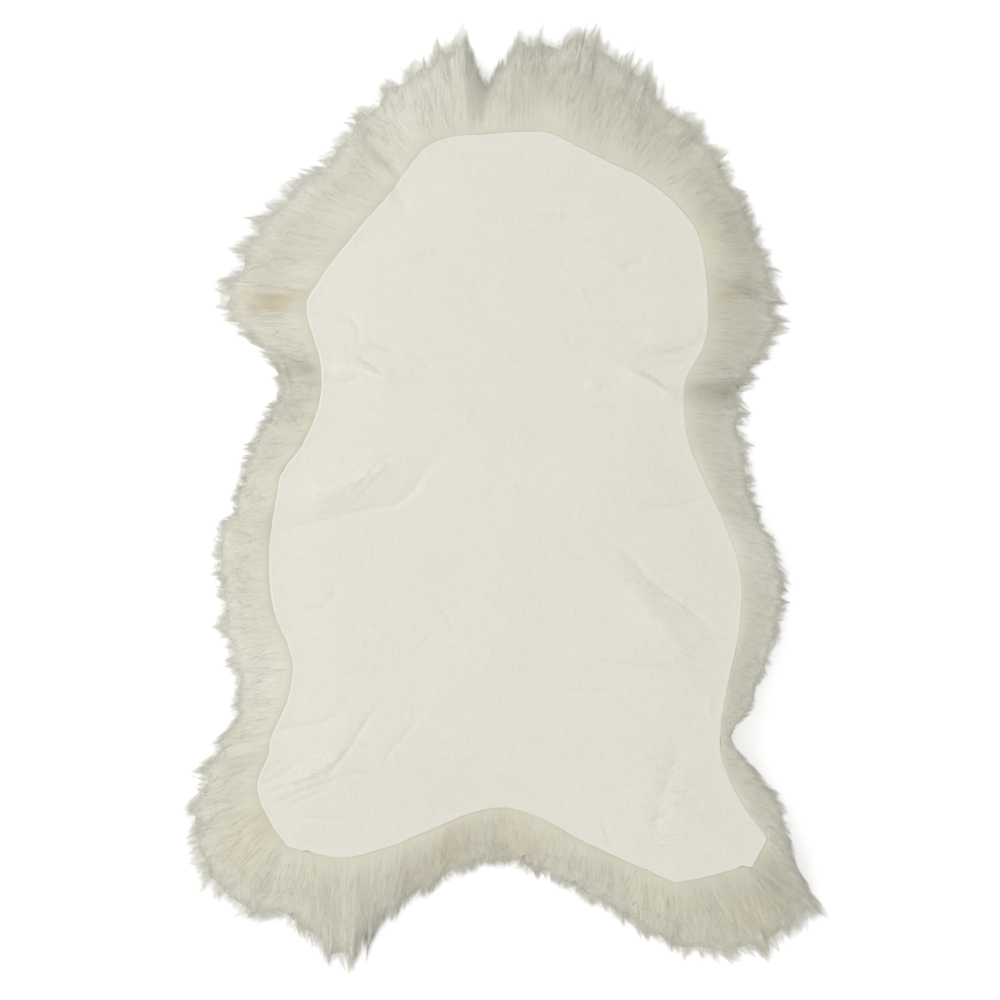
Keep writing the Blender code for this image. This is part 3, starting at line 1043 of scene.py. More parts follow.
@dataclass(frozen=True)
class WoolMap:
    """The wool's own map: across it is the way round the rug, and up it the reach from the edge."""

    lowest: float = -0.35
    highest: float = 1.35

    def up(self, reach: Array | float) -> Array | float:
        """Returns the place up the map of a reach."""
        return np.clip((reach - self.lowest) / (self.highest - self.lowest), 0.001, 0.999)

    def reach_socket(self, board: NodeBoard, along: Socket) -> Socket:
        """Turns the place up the map back into a reach, inside a material."""
        return board.spread(along, 0.0, 1.0, self.lowest, self.highest)


WOOL_MAP = WoolMap()
LOCK_FINISH = WoolFinish(
    root=(0.810, 0.788, 0.665),
    cream=(0.825, 0.805, 0.680),
    middle=(0.850, 0.832, 0.710),
    outer=(0.873, 0.858, 0.738),
    # Painted light: the paler ends lift the shade that the close fibres cast on each other there.
    end=(0.945, 0.932, 0.810),
    tip=(0.850, 0.834, 0.665),
    furrow=(0.780, 0.755, 0.630),
)


class Outline:
    """The hide's cut edge and the line of the wool's ends, at even steps all round."""

    bend_steps: int = 40
    reaches_found: tuple[float, float] = (-0.2, 1.5)

    def __init__(self, rows: tuple[Cut, ...], count: int, station_step: float) -> None:
        """Draws both curves.

        Args:
            rows: The bends of the outline.
            count: How many even steps one turn has.
            station_step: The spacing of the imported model's stations, which carry the wool's lumps.
        """
        edges = np.array([(row.edge_x, row.edge_y) for row in rows]) * MM
        ends = np.array([(row.wool_x, row.wool_y) for row in rows]) * MM
        corners = [row.corner for row in rows]
        shares = np.linspace(0, 1, self.bend_steps, endpoint=False)
        edge_parts, end_parts, station_parts, station = [], [], [], 0
        for i in range(len(rows)):
            edge_parts.append(self.stretch(edges, corners, i, shares))
            end_parts.append(self.stretch(ends, [False] * len(rows), i, shares))
            following = (i + 1) % len(rows)
            run = (np.linalg.norm(edges[i] - edges[following]) + np.linalg.norm(ends[i] - ends[following])) / 2
            pieces = max(1, round(run / station_step))
            station_parts.append(station + shares * pieces)
            station += pieces
        dense_edge, dense_ends = np.concatenate(edge_parts), np.concatenate(end_parts)
        steps = [np.linalg.norm(np.roll(curve, -1, axis=0) - curve, axis=1) for curve in (dense_edge, dense_ends)]
        travelled = np.concatenate(([0.0], np.cumsum(sum(steps) / 2)))
        self.length = travelled[-1]
        self.count = count
        self.station_count = station
        places = np.arange(count) / count * self.length
        self.edge = self.sampled(dense_edge, travelled, places)
        self.ends = self.sampled(dense_ends, travelled, places)
        stations = np.concatenate((*station_parts, [station]))
        self.stations = np.interp(places, travelled, stations)
        self.move_to_frame()

    @staticmethod
    def stretch(points: Array, corners: list[bool], i: int, shares: Array) -> Array:
        """Draws the smooth stretch after one bend.

        Args:
            points: All bends.
            corners: Whether each bend is sharp.
            i: The bend's number.
            shares: The shares of the way to the next bend.

        Returns:
            The points of the stretch.
        """
        count = len(points)
        before, start, end, after = (points[(i + k) % count] for k in (-1, 0, 1, 2))
        if corners[i]:
            before = start * 2 - end
        if corners[(i + 1) % count]:
            after = end * 2 - start
        return curve_between(np.array((before, start, end, after)), shares)

    @staticmethod
    def sampled(curve: Array, travelled: Array, places: Array) -> Array:
        """Returns a closed curve's points at some distances along it."""
        closed = np.concatenate((curve, curve[:1]))
        return np.stack([np.interp(places, travelled, closed[:, axis]) for axis in (0, 1)], axis=1)

    def move_to_frame(self) -> None:
        """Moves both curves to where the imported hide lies."""
        low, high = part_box("hide")
        target = np.array(((low.x + high.x) / 2, (low.y + high.y) / 2))
        self.shift = target - (self.edge.min(0) + self.edge.max(0)) / 2
        self.edge = self.edge + self.shift
        self.ends = self.ends + self.shift

    def at(self, values: Array, around: Array) -> Array:
        """Reads a list of values, one a step, at places round the rug.

        Args:
            values: One value or one point for each even step.
            around: Places from 0 to 1.

        Returns:
            One value or point for each place.
        """
        place = (around % 1.0) * self.count
        low = np.floor(place).astype(int) % self.count
        share = place - np.floor(place)
        if values.ndim > 1:
            share = share[..., None]
        return values[low] * (1 - share) + values[(low + 1) % self.count] * share

    def local(self, points: Array) -> Array:
        """Returns level points in millimetres, as in the tables."""
        return (points - self.shift) / MM

    def find(self, x_mm: float, y_mm: float) -> tuple[float, float]:
        """Finds a point of the wool.

        Args:
            x_mm: The point's place across, as in the tables.
            y_mm: The point's place along, as in the tables.

        Returns:
            Its place round the rug from 0 to 1, and its reach.
        """
        point = np.array((x_mm, y_mm)) * MM + self.shift
        out = self.ends - self.edge
        reach = ((point - self.edge) * out).sum(1) / (out**2).sum(1)
        gap = np.linalg.norm(self.edge + out * reach[:, None] - point, axis=1)
        low, high = self.reaches_found
        gap = np.where((reach < low) | (reach > high), np.inf, gap)
        best = int(gap.argmin())
        return best / self.count, float(reach[best])


@dataclass(frozen=True)
class SheetSizes:
    """Sizes of the leather sheet."""

    thickness: float = 0.002
    height: float = 0.050
    droop: float = 0.006
    droop_width: float = 0.050
    net: float = 0.0056
    fold_net: float = 0.0018
    broad_fold_mm: float = 7
    net_past_fold: float = 2.2
    fold_ends: float = 0.22
    fold_least: float = 0.25
    crease_ends: float = 0.3
    trough_line_mm: float = 1.9
    ridge_line_mm: float = 2.4
    rim_steps: int = 1150
    rim_insets: tuple[float, ...] = (0.0008, 0.0019, 0.0034, 0.0052, 0.0078)
    rim_round: float = 0.48
    rim_round_width: float = 0.0008
    rim_roll: float = 0.00022
    rim_roll_inset: float = 0.0018
    rim_groove: float = 0.00032
    rim_groove_inset: float = 0.0044
    rim_ridge_width: float = 0.0014
    wobble: float = 0.00035
    wobble_counts: tuple[int, int] = (330, 90)
    wobble_seeds: tuple[int, int] = (3, 4)
    flat_width: float = 0.593
    flat_length: float = 0.873
    flat_area: float = 0.387


@dataclass(frozen=True)
class Nick:
    """A small step in the cut edge where the knife was set down again."""

    x: float
    y: float
    depth: float
    half_width: float


NICKS_MM = (
    Nick(-229, -409, 2.2, 5), Nick(276, -428, 1.8, 4), Nick(-129, 363, 1.2, 4),
    Nick(-259, 38, 0.9, 4),
)


class Hide:
    """The leather: a thin closed sheet on its soft folds, thinner and slightly rolled at its cut edge."""

    def __init__(self, outline: Outline, sizes: SheetSizes) -> None:
        """Takes the outline and the sheet's sizes, and draws the cut edge.

        Args:
            outline: The rug's outline.
            sizes: The sheet's sizes.
        """
        self.outline = outline
        self.sizes = sizes
        around = np.arange(sizes.rim_steps) / sizes.rim_steps
        self.rim_around = self.even_edge(around)
        self.rim = self.cut_edge(self.rim_around)

    def even_edge(self, shares: Array) -> Array:
        """Turns even shares of the edge's own length into places round the rug.

        Args:
            shares: Shares from 0 to 1.

        Returns:
            The places.
        """
        edge = self.outline.edge
        steps = np.linalg.norm(np.roll(edge, -1, axis=0) - edge, axis=1)
        travelled = np.concatenate(([0.0], np.cumsum(steps)))
        return np.interp(shares * travelled[-1], travelled, np.arange(len(edge) + 1) / len(edge))

    def cut_edge(self, around: Array) -> Array:
        """Draws the edge as a knife leaves it.

        Args:
            around: Places round the rug.

        Returns:
            The edge's points.
        """
        points = self.outline.at(self.outline.edge, around)
        sizes = self.sizes
        fine, broad = (periodic_noise(around, *pair) for pair in zip(sizes.wobble_counts, sizes.wobble_seeds))
        depth = sizes.wobble * (fine * 0.6 + broad)
        for nick in NICKS_MM:
            place = np.array((nick.x, nick.y)) * MM + self.outline.shift
            away = np.linalg.norm(points - place, axis=1) / (nick.half_width * MM)
            depth = depth + nick.depth * MM * bell(away)
        return points + inward_from(points) * depth[:, None]

    def relief(self, points: Array) -> Array:
        """Returns how far the leather stands above its usual height at each point.

        Args:
            points: The points, one a row.

        Returns:
            The heights, in metres.
        """
        local = self.outline.local(points)
        rise = np.zeros(len(points))
        for swell in SWELLS_MM:
            away = np.linalg.norm(local - (swell.x, swell.y), axis=1) / swell.radius
            rise += swell.rise * bell(away)
        for fold in FOLDS_MM:
            signed, along, _ = distance_to_path(local, np.array(fold.path))
            width = np.where(signed > 0, fold.left, fold.right)
            ends = np.clip(np.minimum(along, 1 - along) / self.sizes.fold_ends, 0, 1)
            fade = self.sizes.fold_least + (1 - self.sizes.fold_least) * ends * ends * (3 - 2 * ends)
            away = np.abs(signed) / width
            rise += fold.rise * fade * (bell(away) + 1.1 * np.exp(-1.7 * away))
        return rise * MM

    def painted_fold_shade_and_highlight(self, points: Array) -> Array:
        """Returns the painted shade in the bottom of the leather's troughs at each point.

        Args:
            points: The points, one a row.

        Returns:
            One value a point, below zero on a ridge, where it stands for a painted highlight.
        """
        local = self.outline.local(points)
        dark = np.zeros(len(points))
        for fold in FOLDS_MM:
            signed, along, _ = distance_to_path(local, np.array(fold.path))
            ends = np.clip(np.minimum(along, 1 - along) / self.sizes.crease_ends, 0, 1)
            if fold.rise < 0:
                dark += min(1.0, 0.35 - 0.45 * fold.rise) * ends * bell(signed / self.sizes.trough_line_mm)
            else:
                dark -= min(0.6, 0.2 * fold.rise) * ends * bell(signed / self.sizes.ridge_line_mm)
        return dark

    def crinkled(self, points: Array) -> Array:
        """Returns how closely wrinkled the leather is at each point, from 0 to 1.

        Args:
            points: The points, one a row.

        Returns:
            One value a point.
        """
        local = self.outline.local(points)
        close = np.zeros(len(points))
        for patch in CRINKLES_MM:
            turn = math.radians(patch.turn)
            x, y = local[:, 0] - patch.x, local[:, 1] - patch.y
            far = ((x * math.cos(turn) + y * math.sin(turn)) / patch.half_long) ** 2
            far = far + ((y * math.cos(turn) - x * math.sin(turn)) / patch.half_wide) ** 2
            close = np.maximum(close, patch.strength * np.exp(-far))
        return close

    def underside(self, points: Array) -> Array:
        """Returns the height of the leather's underside at each point."""
        inward = distance_to_loop(points, self.outline.edge[::4]) / self.sizes.droop_width
        return self.sizes.height + self.relief(points) - self.sizes.droop * bell(inward)

    def near_folds(self, points: Array) -> Array:
        """Says which points lie on a fold that needs the finer net.

        Args:
            points: The points, one a row.

        Returns:
            True or false for each.
        """
        local = self.outline.local(points)
        near = np.zeros(len(points), bool)
        for fold in FOLDS_MM:
            if min(fold.left, fold.right) < self.sizes.broad_fold_mm:
                _, _, away = distance_to_path(local, np.array(fold.path))
                near |= away < self.sizes.net_past_fold * max(fold.left, fold.right)
        return near

    def even_net(self) -> Array:
        """Returns evenly spaced points inside the rim."""
        points = staggered_points(self.rim, self.sizes.net)
        return points[distance_to_loop(points, self.rim) > self.sizes.net * CLEAR_OF_RIM]

    def net_points(self) -> Array:
        """Returns the points inside the sheet: rows along its rim, an even net, and a finer one at folds."""
        sizes = self.sizes
        inward = inward_from(self.rim)
        rows = []
        for k, inset in enumerate(sizes.rim_insets):
            row = (self.rim + inward * inset)[(k % 2) :: (1 if k < 3 else 2)]
            clear = distance_to_loop(row, self.rim) > 0.92 * inset
            rows.append(row[clear & is_inside(row, self.rim)])
        even = self.even_net()
        fine = staggered_points(self.rim, sizes.fold_net)
        fine = fine[self.near_folds(fine)]
        even = even[~self.near_folds(even)]
        inner = np.concatenate((even, fine))
        inner = inner[distance_to_loop(inner, self.rim) > sizes.rim_insets[-1] * 1.35]
        return np.concatenate((*rows, inner))

    def edge_form(self, points: Array) -> Array:
        """Returns the sheet's thickness at each point: rounded at the cut, with a faint roll and groove.

        Args:
            points: The points, one a row.

        Returns:
            The thicknesses.
        """
        sizes = self.sizes
        inset = distance_to_loop(points, self.rim)
        round_off = sizes.rim_round * bell(inset / sizes.rim_round_width) * sizes.thickness
        roll = sizes.rim_roll * bell((inset - sizes.rim_roll_inset) / sizes.rim_ridge_width)
        groove = sizes.rim_groove * bell((inset - sizes.rim_groove_inset) / sizes.rim_ridge_width)
        side = np.clip(0.35 + points[:, 0] / 0.30, 0.15, 1.0)
        return sizes.thickness - round_off + roll - groove * side

    def marks(self, points: Array) -> Array:
        """Works out what the leather's finish needs at each point.

        Args:
            points: The points, one a row.

        Returns:
            Four values a point: the painted shade and highlight of its folds, its wrinkles, the painted highlight
                of the cut edge, and the painted shadow line at it.
        """
        inset = distance_to_loop(points, self.rim)
        x, y = points.T
        # The cut edge's painted highlight is stronger on the right than on the left, and towards the neck.
        lit = np.clip(0.55 + np.maximum(x, -0.4 * x) / 0.35 + y / 1.6, 0.3, 1.0)
        # The painted shadow line at the cut edge is strongest at the neck and between the legs.
        ends = np.clip((y - 0.28) / 0.08, 0, 1) + np.clip((-0.34 - y) / 0.05, 0, 1)
        # The folds' painted shade and highlight, held from 0 to 1 round a middle of 0.5.
        fold_shade_and_highlight = 0.5 + 0.5 * np.clip(self.painted_fold_shade_and_highlight(points), -1, 1)
        pale, line = bell(inset / 0.0017) * lit, bell(inset / 0.0006) * np.clip(ends, 0.25, 1)
        return np.column_stack((fold_shade_and_highlight, self.crinkled(points), pale, line))

    def build(self, leather: Material) -> bpy.types.Object:
        """Models the sheet.

        Args:
            leather: Its material.

        Returns:
            The sheet.
        """
        points, upper_net = fill_net(self.rim, self.net_points())
        under, lower_net = fill_net(self.rim, self.even_net())
        lower = np.column_stack((under, self.underside(under)))
        upper = np.column_stack((points, self.underside(points) + self.edge_form(points)))
        places, corners, starts = closed_sheet(lower, lower_net, upper, upper_net, len(self.rim))
        sheet = mesh_object("leather_hide", places, corners, starts, leather)
        layer = sheet.data.color_attributes.new(name=MARKS_AND_PAINTED_LIGHT, type="FLOAT_COLOR", domain="POINT")
        layer.data.foreach_set("color", self.marks(np.concatenate((under, points))).astype(np.float32).ravel())
        sheet.data.set_sharp_from_angle(angle=math.radians(SHARP_DEGREES))
        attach(sheet, "root")
        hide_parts("hide")
        return sheet


@dataclass(frozen=True)
class WoolSizes:
    """Sizes of the wool's slope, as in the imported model."""

    slope: tuple[tuple[float, float], ...] = (
        *((-0.60, 1.0), (0.00, 1.00), (0.10, 0.985), (0.20, 0.945), (0.30, 0.885)),
        *((0.40, 0.805), (0.50, 0.705), (0.60, 0.585), (0.70, 0.435), (0.80, 0.265)),
        *((0.88, 0.130), (0.94, 0.055), (1.00, 0.025), (1.40, 0.015)),
    )
    station_step: float = 0.0205
    lump_seed: int = 11
    lump_widths: tuple[int, ...] = (2, 3, 3, 4, 5)
    lump_crowns: tuple[float, float] = (0.6, 1.0)
    lump_height: float = 0.26
    lump_reach: float = 0.10
    lump_full_at: float = 0.33
    brim_mm: tuple[tuple[float, float], ...] = (
        *((-0.032, -0.2), (-0.015, 1.0), (-0.006, 1.6), (0.010, 2.1)),
        *((0.050, 2.4), (0.120, 2.4), (0.220, 1.7), (0.400, 0.0)),
    )
    tuft_spacing: float = 0.040
    tuft_seed: int = 8
    tuft_pull: tuple[float, float] = (0.10, 0.42)
    tuft_drop: tuple[float, float] = (0.02, 0.11)
    tuft_curl: float = 0.0050
    parted_by: float = 0.45
    closed_by: float = 0.25
    furrow_full_at: float = 0.25
    furrow_full_height: float = 0.02
    ripple: float = 0.0004
    ripple_count: int = 300
    ripple_seed: int = 22
    seam_gap: float = 0.0007
    floor_gap: float = 0.0003
    eye_height: float = 3.27
    eye_x: float = -0.0032
    eye_y: float = -0.0050
    table_height: float = 0.050


class WoolShape:
    """Where the wool's surface lies: a place is given by the way round, the reach and a lift."""

    def __init__(self, outline: Outline, hide: Hide, sizes: WoolSizes) -> None:
        """Takes the outline, the hide that covers the wool's roots, and the wool's sizes.

        Args:
            outline: The rug's outline.
            hide: The hide.
            sizes: The wool's sizes.
        """
        self.outline = outline
        self.sizes = sizes
        self.edge_height = hide.underside(outline.edge) - sizes.seam_gap
        self.crown = self.crowns()
        self.partings = [(outline.find(parting.x, parting.y)[0], parting) for parting in PARTINGS_MM]
        self.grow_tufts()

    def crowns(self) -> Array:
        """Returns how far the wool swells at each step, from 0 in a furrow to about 1 on a lump."""
        chance = random.Random(self.sizes.lump_seed)
        crowns: list[float] = []
        while len(crowns) < self.outline.station_count:
            width = chance.choice(self.sizes.lump_widths)
            crown = chance.uniform(*self.sizes.lump_crowns)
            crowns += [crown * math.sin(math.pi * (k + 0.5) / width) for k in range(width)]
        crowns = crowns[: self.outline.station_count]
        knots = np.array(crowns + crowns[:1])
        return np.interp(self.outline.stations, np.arange(len(knots)), knots)

    def grow_tufts(self) -> None:
        """Places the tufts that the locks lean into: one at each long wisp, and others between them."""
        sizes = self.sizes
        chance = np.random.default_rng(sizes.tuft_seed)
        fixed = sorted(self.outline.find(wisp.x, wisp.y)[0] for wisp in WISPS_MM)
        middles: list[float] = []
        for here, after in zip(fixed, fixed[1:] + [fixed[0] + 1]):
            middles.append(here)
            gap = after - here
            more = max(0, round(gap * self.outline.length / sizes.tuft_spacing) - 1)
            shares = (np.arange(more) + 1 + chance.uniform(-0.28, 0.28, more)) / (more + 1)
            middles += list(here + gap * shares)
        self.tufts = np.sort(np.array(middles) % 1.0)
        count = len(self.tufts)
        self.pulls = chance.uniform(*sizes.tuft_pull, count)
        self.drops = chance.uniform(*sizes.tuft_drop, count)
        self.curls = chance.normal(0, sizes.tuft_curl, count) / self.outline.length

    def between_tufts(self, around: Array) -> tuple[Array, Array, Array]:
        """Finds the two tufts at each side of places round the rug.

        Args:
            around: The places.

        Returns:
            The number of the tuft before each place, the share of the way to the next one, and that way.
        """
        ring = np.concatenate((self.tufts[-1:] - 1, self.tufts, self.tufts[:1] + 1))
        place = around % 1.0
        after = np.clip(np.searchsorted(ring, place, side="right"), 1, len(ring) - 1)
        gap = ring[after] - ring[after - 1]
        return (after - 2) % len(self.tufts), (place - ring[after - 1]) / gap, gap

    def flow(self, around: Array, reach: Array) -> Array:
        """Follows the wool's flow lines, which lean into tufts and away from partings.

        Args:
            around: The place round the rug where each line leaves the hide.
            reach: How far out along the line.

        Returns:
            The place round the rug at that reach.
        """
        before, share, gap = self.between_tufts(around)
        after = (before + 1) % len(self.tufts)
        out = np.clip(reach, 0, 1.2)
        lean = -self.pulls[before] * gap / (2 * np.pi) * np.sin(2 * np.pi * share) * 1.6
        curl = self.curls[before] * (1 - share) + self.curls[after] * share
        return self.parted(around, out) + lean * out**1.6 + curl * out**2.2

    def valley(self, around: Array) -> Array:
        """Returns how much shorter the wool is between two tufts, as a share of its reach."""
        before, share, _ = self.between_tufts(around)
        return self.drops[before] * np.sin(np.pi * share) ** 1.5

    def beside(self, around: Array, middle: float, parting: Parting) -> Array:
        """Returns how far places round the rug are from a parting's middle, in its half widths."""
        return ((around - middle + 0.5) % 1.0 - 0.5) * self.outline.length / (parting.half_width * MM)

    def furrow(self, around: Array) -> Array:
        """Returns how deep the wool is furrowed at places round the rug, in metres.

        Args:
            around: The places.

        Returns:
            The depths.
        """
        depth = np.zeros(np.shape(around))
        for middle, parting in self.partings:
            depth = depth + parting.depth * MM * bell(self.beside(around, middle, parting))
        return depth

    def parted(self, around: Array, share: Array) -> Array:
        """Bends places round the rug away from the partings.

        Args:
            around: Places round the rug.
            share: How far along its way a fibre is there, from 0 to 1.

        Returns:
            The bent places.
        """
        bent = around
        for middle, parting in self.partings:
            away = self.beside(around, middle, parting)
            way = self.sizes.parted_by if parting.depth > 0 else -self.sizes.closed_by
            push = way * parting.half_width * MM / self.outline.length
            bent = bent + push * share * away * np.exp(-0.5 * away**2) * 1.6
        return bent

    def place(self, around: Array, reach: Array, lift: Array) -> Array:
        """Returns points on or over the wool's surface.

        Args:
            around: Places round the rug, from 0 to 1.
            reach: Reach from the hide's edge (0) to the wool's usual ends (1).
            lift: Height over the surface, in metres.

        Returns:
            The points, with one more axis than the places.
        """
        sizes = self.sizes
        edge = self.outline.at(self.outline.edge, around)
        ends = self.outline.at(self.outline.ends, around)
        ramp = np.clip(reach / sizes.lump_full_at, 0, 1)
        swell = (self.outline.at(self.crown, around) - 0.5) * ramp
        scale = (1 + sizes.lump_reach * swell) * (1 - self.valley(around) * np.clip(reach, 0, 1) ** 1.5)
        flat = edge + (ends - edge) * (reach * scale)[..., None]
        height = np.interp(reach, *zip(*sizes.slope)) * (1 + sizes.lump_height * swell)
        rise = np.interp(reach, *zip(*sizes.brim_mm)) * MM
        ripple = sizes.ripple * periodic_noise(around, sizes.ripple_count, sizes.ripple_seed)
        ripple = ripple * np.clip(4 * reach, 0, 1)
        height = self.outline.at(self.edge_height, around) * height + rise + ripple
        furrow = self.furrow(around) * np.clip(reach / sizes.furrow_full_at, 0, 1)
        furrow = furrow * np.clip(height / sizes.furrow_full_height, 0, 1)
        height = np.maximum(height - furrow + lift, sizes.floor_gap)
        eye = np.array((sizes.eye_x, sizes.eye_y))
        wider = 1 + np.clip(sizes.table_height - height, 0, None) / sizes.eye_height
        flat = eye + (flat - eye) * wider[..., None]
        return np.concatenate((flat, height[..., None]), axis=-1)


@dataclass(frozen=True)
class WoolBed:
    """The wool bed: a closed ring of felted fibre that fills the space under the locks."""

    shape: WoolShape
    steps: int = 1100
    inner_reaches: tuple[float, ...] = (-0.160, -0.032, -0.015, -0.006, 0.010, 0.050, 0.085, 0.130, 0.180)
    outer_reaches: tuple[float, ...] = (
        *(0.240, 0.310, 0.390, 0.470, 0.550, 0.630),
        *(0.700, 0.760, 0.810, 0.850, 0.880, 0.900),
    )
    outer_play: float = 0.04
    play_count: int = 420
    play_seed: int = 21
    sink: float = 0.0001
    floor_rows: int = 3

    def section(self, around: Array) -> tuple[Array, Array]:
        """Places the ring's cross-section at every step.

        Args:
            around: The steps, from 0 to 1.

        Returns:
            The points and their reaches, with the rows of the section first.
        """
        inner, outermost = self.inner_reaches[0], self.outer_reaches[-1]
        play = self.outer_play * periodic_noise(around, self.play_count, self.play_seed)
        rows, reaches = [], []
        for level in (*self.inner_reaches, *self.outer_reaches):
            reach = level + play * np.clip((level - 0.3) / (outermost - 0.3), 0, 1)
            row = self.shape.place(self.shape.flow(around, reach), reach, -self.sink * np.ones_like(around))
            rows.append(row)
            reaches.append(reach)
        outer = reaches[-1]
        for k in range(self.floor_rows):
            share = k / (self.floor_rows - 1)
            reach = outer + (inner - outer) * share
            row = self.shape.place(self.shape.flow(around, reach), reach, -np.ones_like(around))
            row[:, 2] = 0.0
            rows.append(row)
            reaches.append(reach)
        return np.array(rows), np.array(reaches)

    def build(self, wool: Material) -> bpy.types.Object:
        """Models the ring.

        Args:
            wool: Its material.

        Returns:
            The ring.
        """
        steps = self.steps
        around = np.arange(steps) / steps
        rows, reaches = self.section(around)
        count = len(rows)
        row, step = np.meshgrid(np.arange(count), np.arange(steps), indexing="ij")
        next_row, next_step = (row + 1) % count, (step + 1) % steps
        quads = np.stack(
            (row * steps + step, row * steps + next_step, next_row * steps + next_step, next_row * steps + step),
            axis=-1,
        ).reshape(-1, 4)
        up = WOOL_MAP.up(reaches)
        low_up = up[row, step]
        here, there = np.clip(step / steps, 0.001, 0.999), np.clip((step + 1) / steps, 0.001, 0.999)
        wall = next_row == 0
        far_up = np.where(wall, low_up + 0.004, up[next_row, step])
        far_up_next = np.where(wall, up[row, next_step] + 0.004, up[next_row, next_step])
        maps = np.stack(
            (
                np.stack((here, low_up), -1),
                np.stack((there, up[row, next_step]), -1),
                np.stack((there, far_up_next), -1),
                np.stack((here, far_up), -1),
            ),
            axis=-2,
        ).reshape(-1, 2)
        bed = mesh_object("wool_bed", rows.reshape(-1, 3), quads.ravel(), np.arange(len(quads)) * 4, wool, maps)
        dress_wool(bed)
        return bed


@dataclass(frozen=True)
class FeltCore:
    """The matted wool between the hide and the floor, seen only from below."""

    outline: Outline
    hide: Hide
    inset: float = 0.006
    net: float = 0.016
    under_hide: float = 0.0009
    off_floor: float = 0.0003

    def build(self, felt: Material) -> bpy.types.Object:
        """Models the slab.

        Args:
            felt: Its material.

        Returns:
            The slab.
        """
        edge = self.outline.edge[::8]
        rim = edge + inward_from(edge) * self.inset
        rim = rim[distance_to_loop(rim, self.outline.edge[::4]) > self.inset * 0.9]
        inner = staggered_points(rim, self.net)
        inner = inner[distance_to_loop(inner, rim) > self.net * CLEAR_OF_RIM]
        points, triangles = fill_net(rim, inner)
        upper = np.column_stack((points, self.hide.underside(points) - self.under_hide))
        lower = np.column_stack((points, np.full(len(points), self.off_floor)))
        places, corners, starts = closed_sheet(lower, triangles, upper, triangles, len(rim))
        core = mesh_object("wool_core", places, corners, starts, felt)
        core.data.set_sharp_from_angle(angle=math.radians(SHARP_DEGREES))
        dress_wool(core)
        return core


def dress_wool(piece: bpy.types.Object) -> None:
    """Hangs a wool piece on the rug's body, where it rides, and hides the imported fleece that it stands for.

    Args:
        piece: The piece.
    """
    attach(piece, "root")
    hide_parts("fleece")


# ---- Locks of wool.


@dataclass(frozen=True)
class LockTier:
    """One layer of locks, each a bundle of fibres that close up towards a tip.

    Reaches count from the hide's edge (0) to the wool's usual ends (1). Lifts are heights over the
    wool's surface. The spread is a lock's width beside its share of the way round.
    """

    name: str
    locks: int
    fibres: int
    roots: tuple[float, float]
    tips: tuple[float, float]
    root_lift: tuple[float, float]
    body_lift: float
    tip_lift: tuple[float, float]
    spread: float
    gather: tuple[float, float]
    sway: float
    thickness: float
    seed: int


TIERS = (
    LockTier(
        name="wool_slope", seed=43, locks=980, fibres=8, roots=(0.380, 0.700), tips=(0.74, 0.98),
        root_lift=(-0.0002, -0.0001), body_lift=0.00018, tip_lift=(0.0, 0.0002),
        spread=2.6, gather=(0.05, 0.50), sway=0.0028, thickness=0.00036,
    ),
    LockTier(
        name="wool_fringe", seed=44, locks=1120, fibres=9, roots=(0.540, 0.800), tips=(0.86, 1.10),
        root_lift=(-0.0004, -0.0002), body_lift=0.00025, tip_lift=(0.0001, 0.0006),
        spread=2.2, gather=(0.08, 0.80), sway=0.0030, thickness=0.00038,
    ),
    LockTier(
        name="wool_ends", seed=46, locks=1420, fibres=7, roots=(0.620, 0.870), tips=(0.92, 1.17),
        root_lift=(-0.0006, -0.0003), body_lift=0.00030, tip_lift=(0.0, 0.0008),
        spread=2.2, gather=(0.15, 0.90), sway=0.0046, thickness=0.00034,
    ),
    LockTier(
        name="wool_floor", seed=45, locks=420, fibres=15, roots=(0.640, 0.800), tips=(0.86, 1.06),
        root_lift=(-0.0012, -0.0005), body_lift=0.00030, tip_lift=(-0.0006, 0.0004),
        spread=1.8, gather=(0.20, 0.85), sway=0.0028, thickness=0.00042,
    ),
)
WISP_TIER = LockTier(
    name="wisp", seed=700, locks=3, fibres=18, roots=(0.45, 0.70), tips=(0.90, 1.0),
    root_lift=(-0.001, -0.0003), body_lift=0.0012, tip_lift=(0.0003, 0.003),
    spread=1.3, gather=(0.80, 0.97), sway=0.0, thickness=0.0006,
)


@dataclass(frozen=True)
class HairKind:
    """A kind of single hairs, which lie between the locks.

    The stray is how far a tip wanders round the rug, in metres, and the bend how late on its way it does.
    """

    count: int
    seed: int
    stray: float
    bend: float
    lifts: tuple[float, float]
    widths: tuple[float, float]


COAT = HairKind(6000, 61, 0.0022, 1.3, (0.0, 0.0002), (0.00022, 0.0004))
STRAYS = HairKind(900, 97, 0.010, 1.3, (0.0002, 0.0025), (0.0004, 0.0006))
FUZZ = HairKind(3900, 131, 0.0055, 1.4, (-0.0005, 0.0035), (0.00028, 0.00045))


@dataclass(frozen=True)
class Fibres:
    """Fibres as arrays: each has a row of places round, reaches and lifts, a width and a seat on the map."""

    around: Array
    reach: Array
    lift: Array
    width: Array
    seat: Array

    def joined(self, other: Fibres) -> Fibres:
        """Returns these fibres and the other ones together."""
        pairs = ((getattr(self, name), getattr(other, name)) for name in self.__dataclass_fields__)
        return Fibres(*(np.concatenate(pair) for pair in pairs))


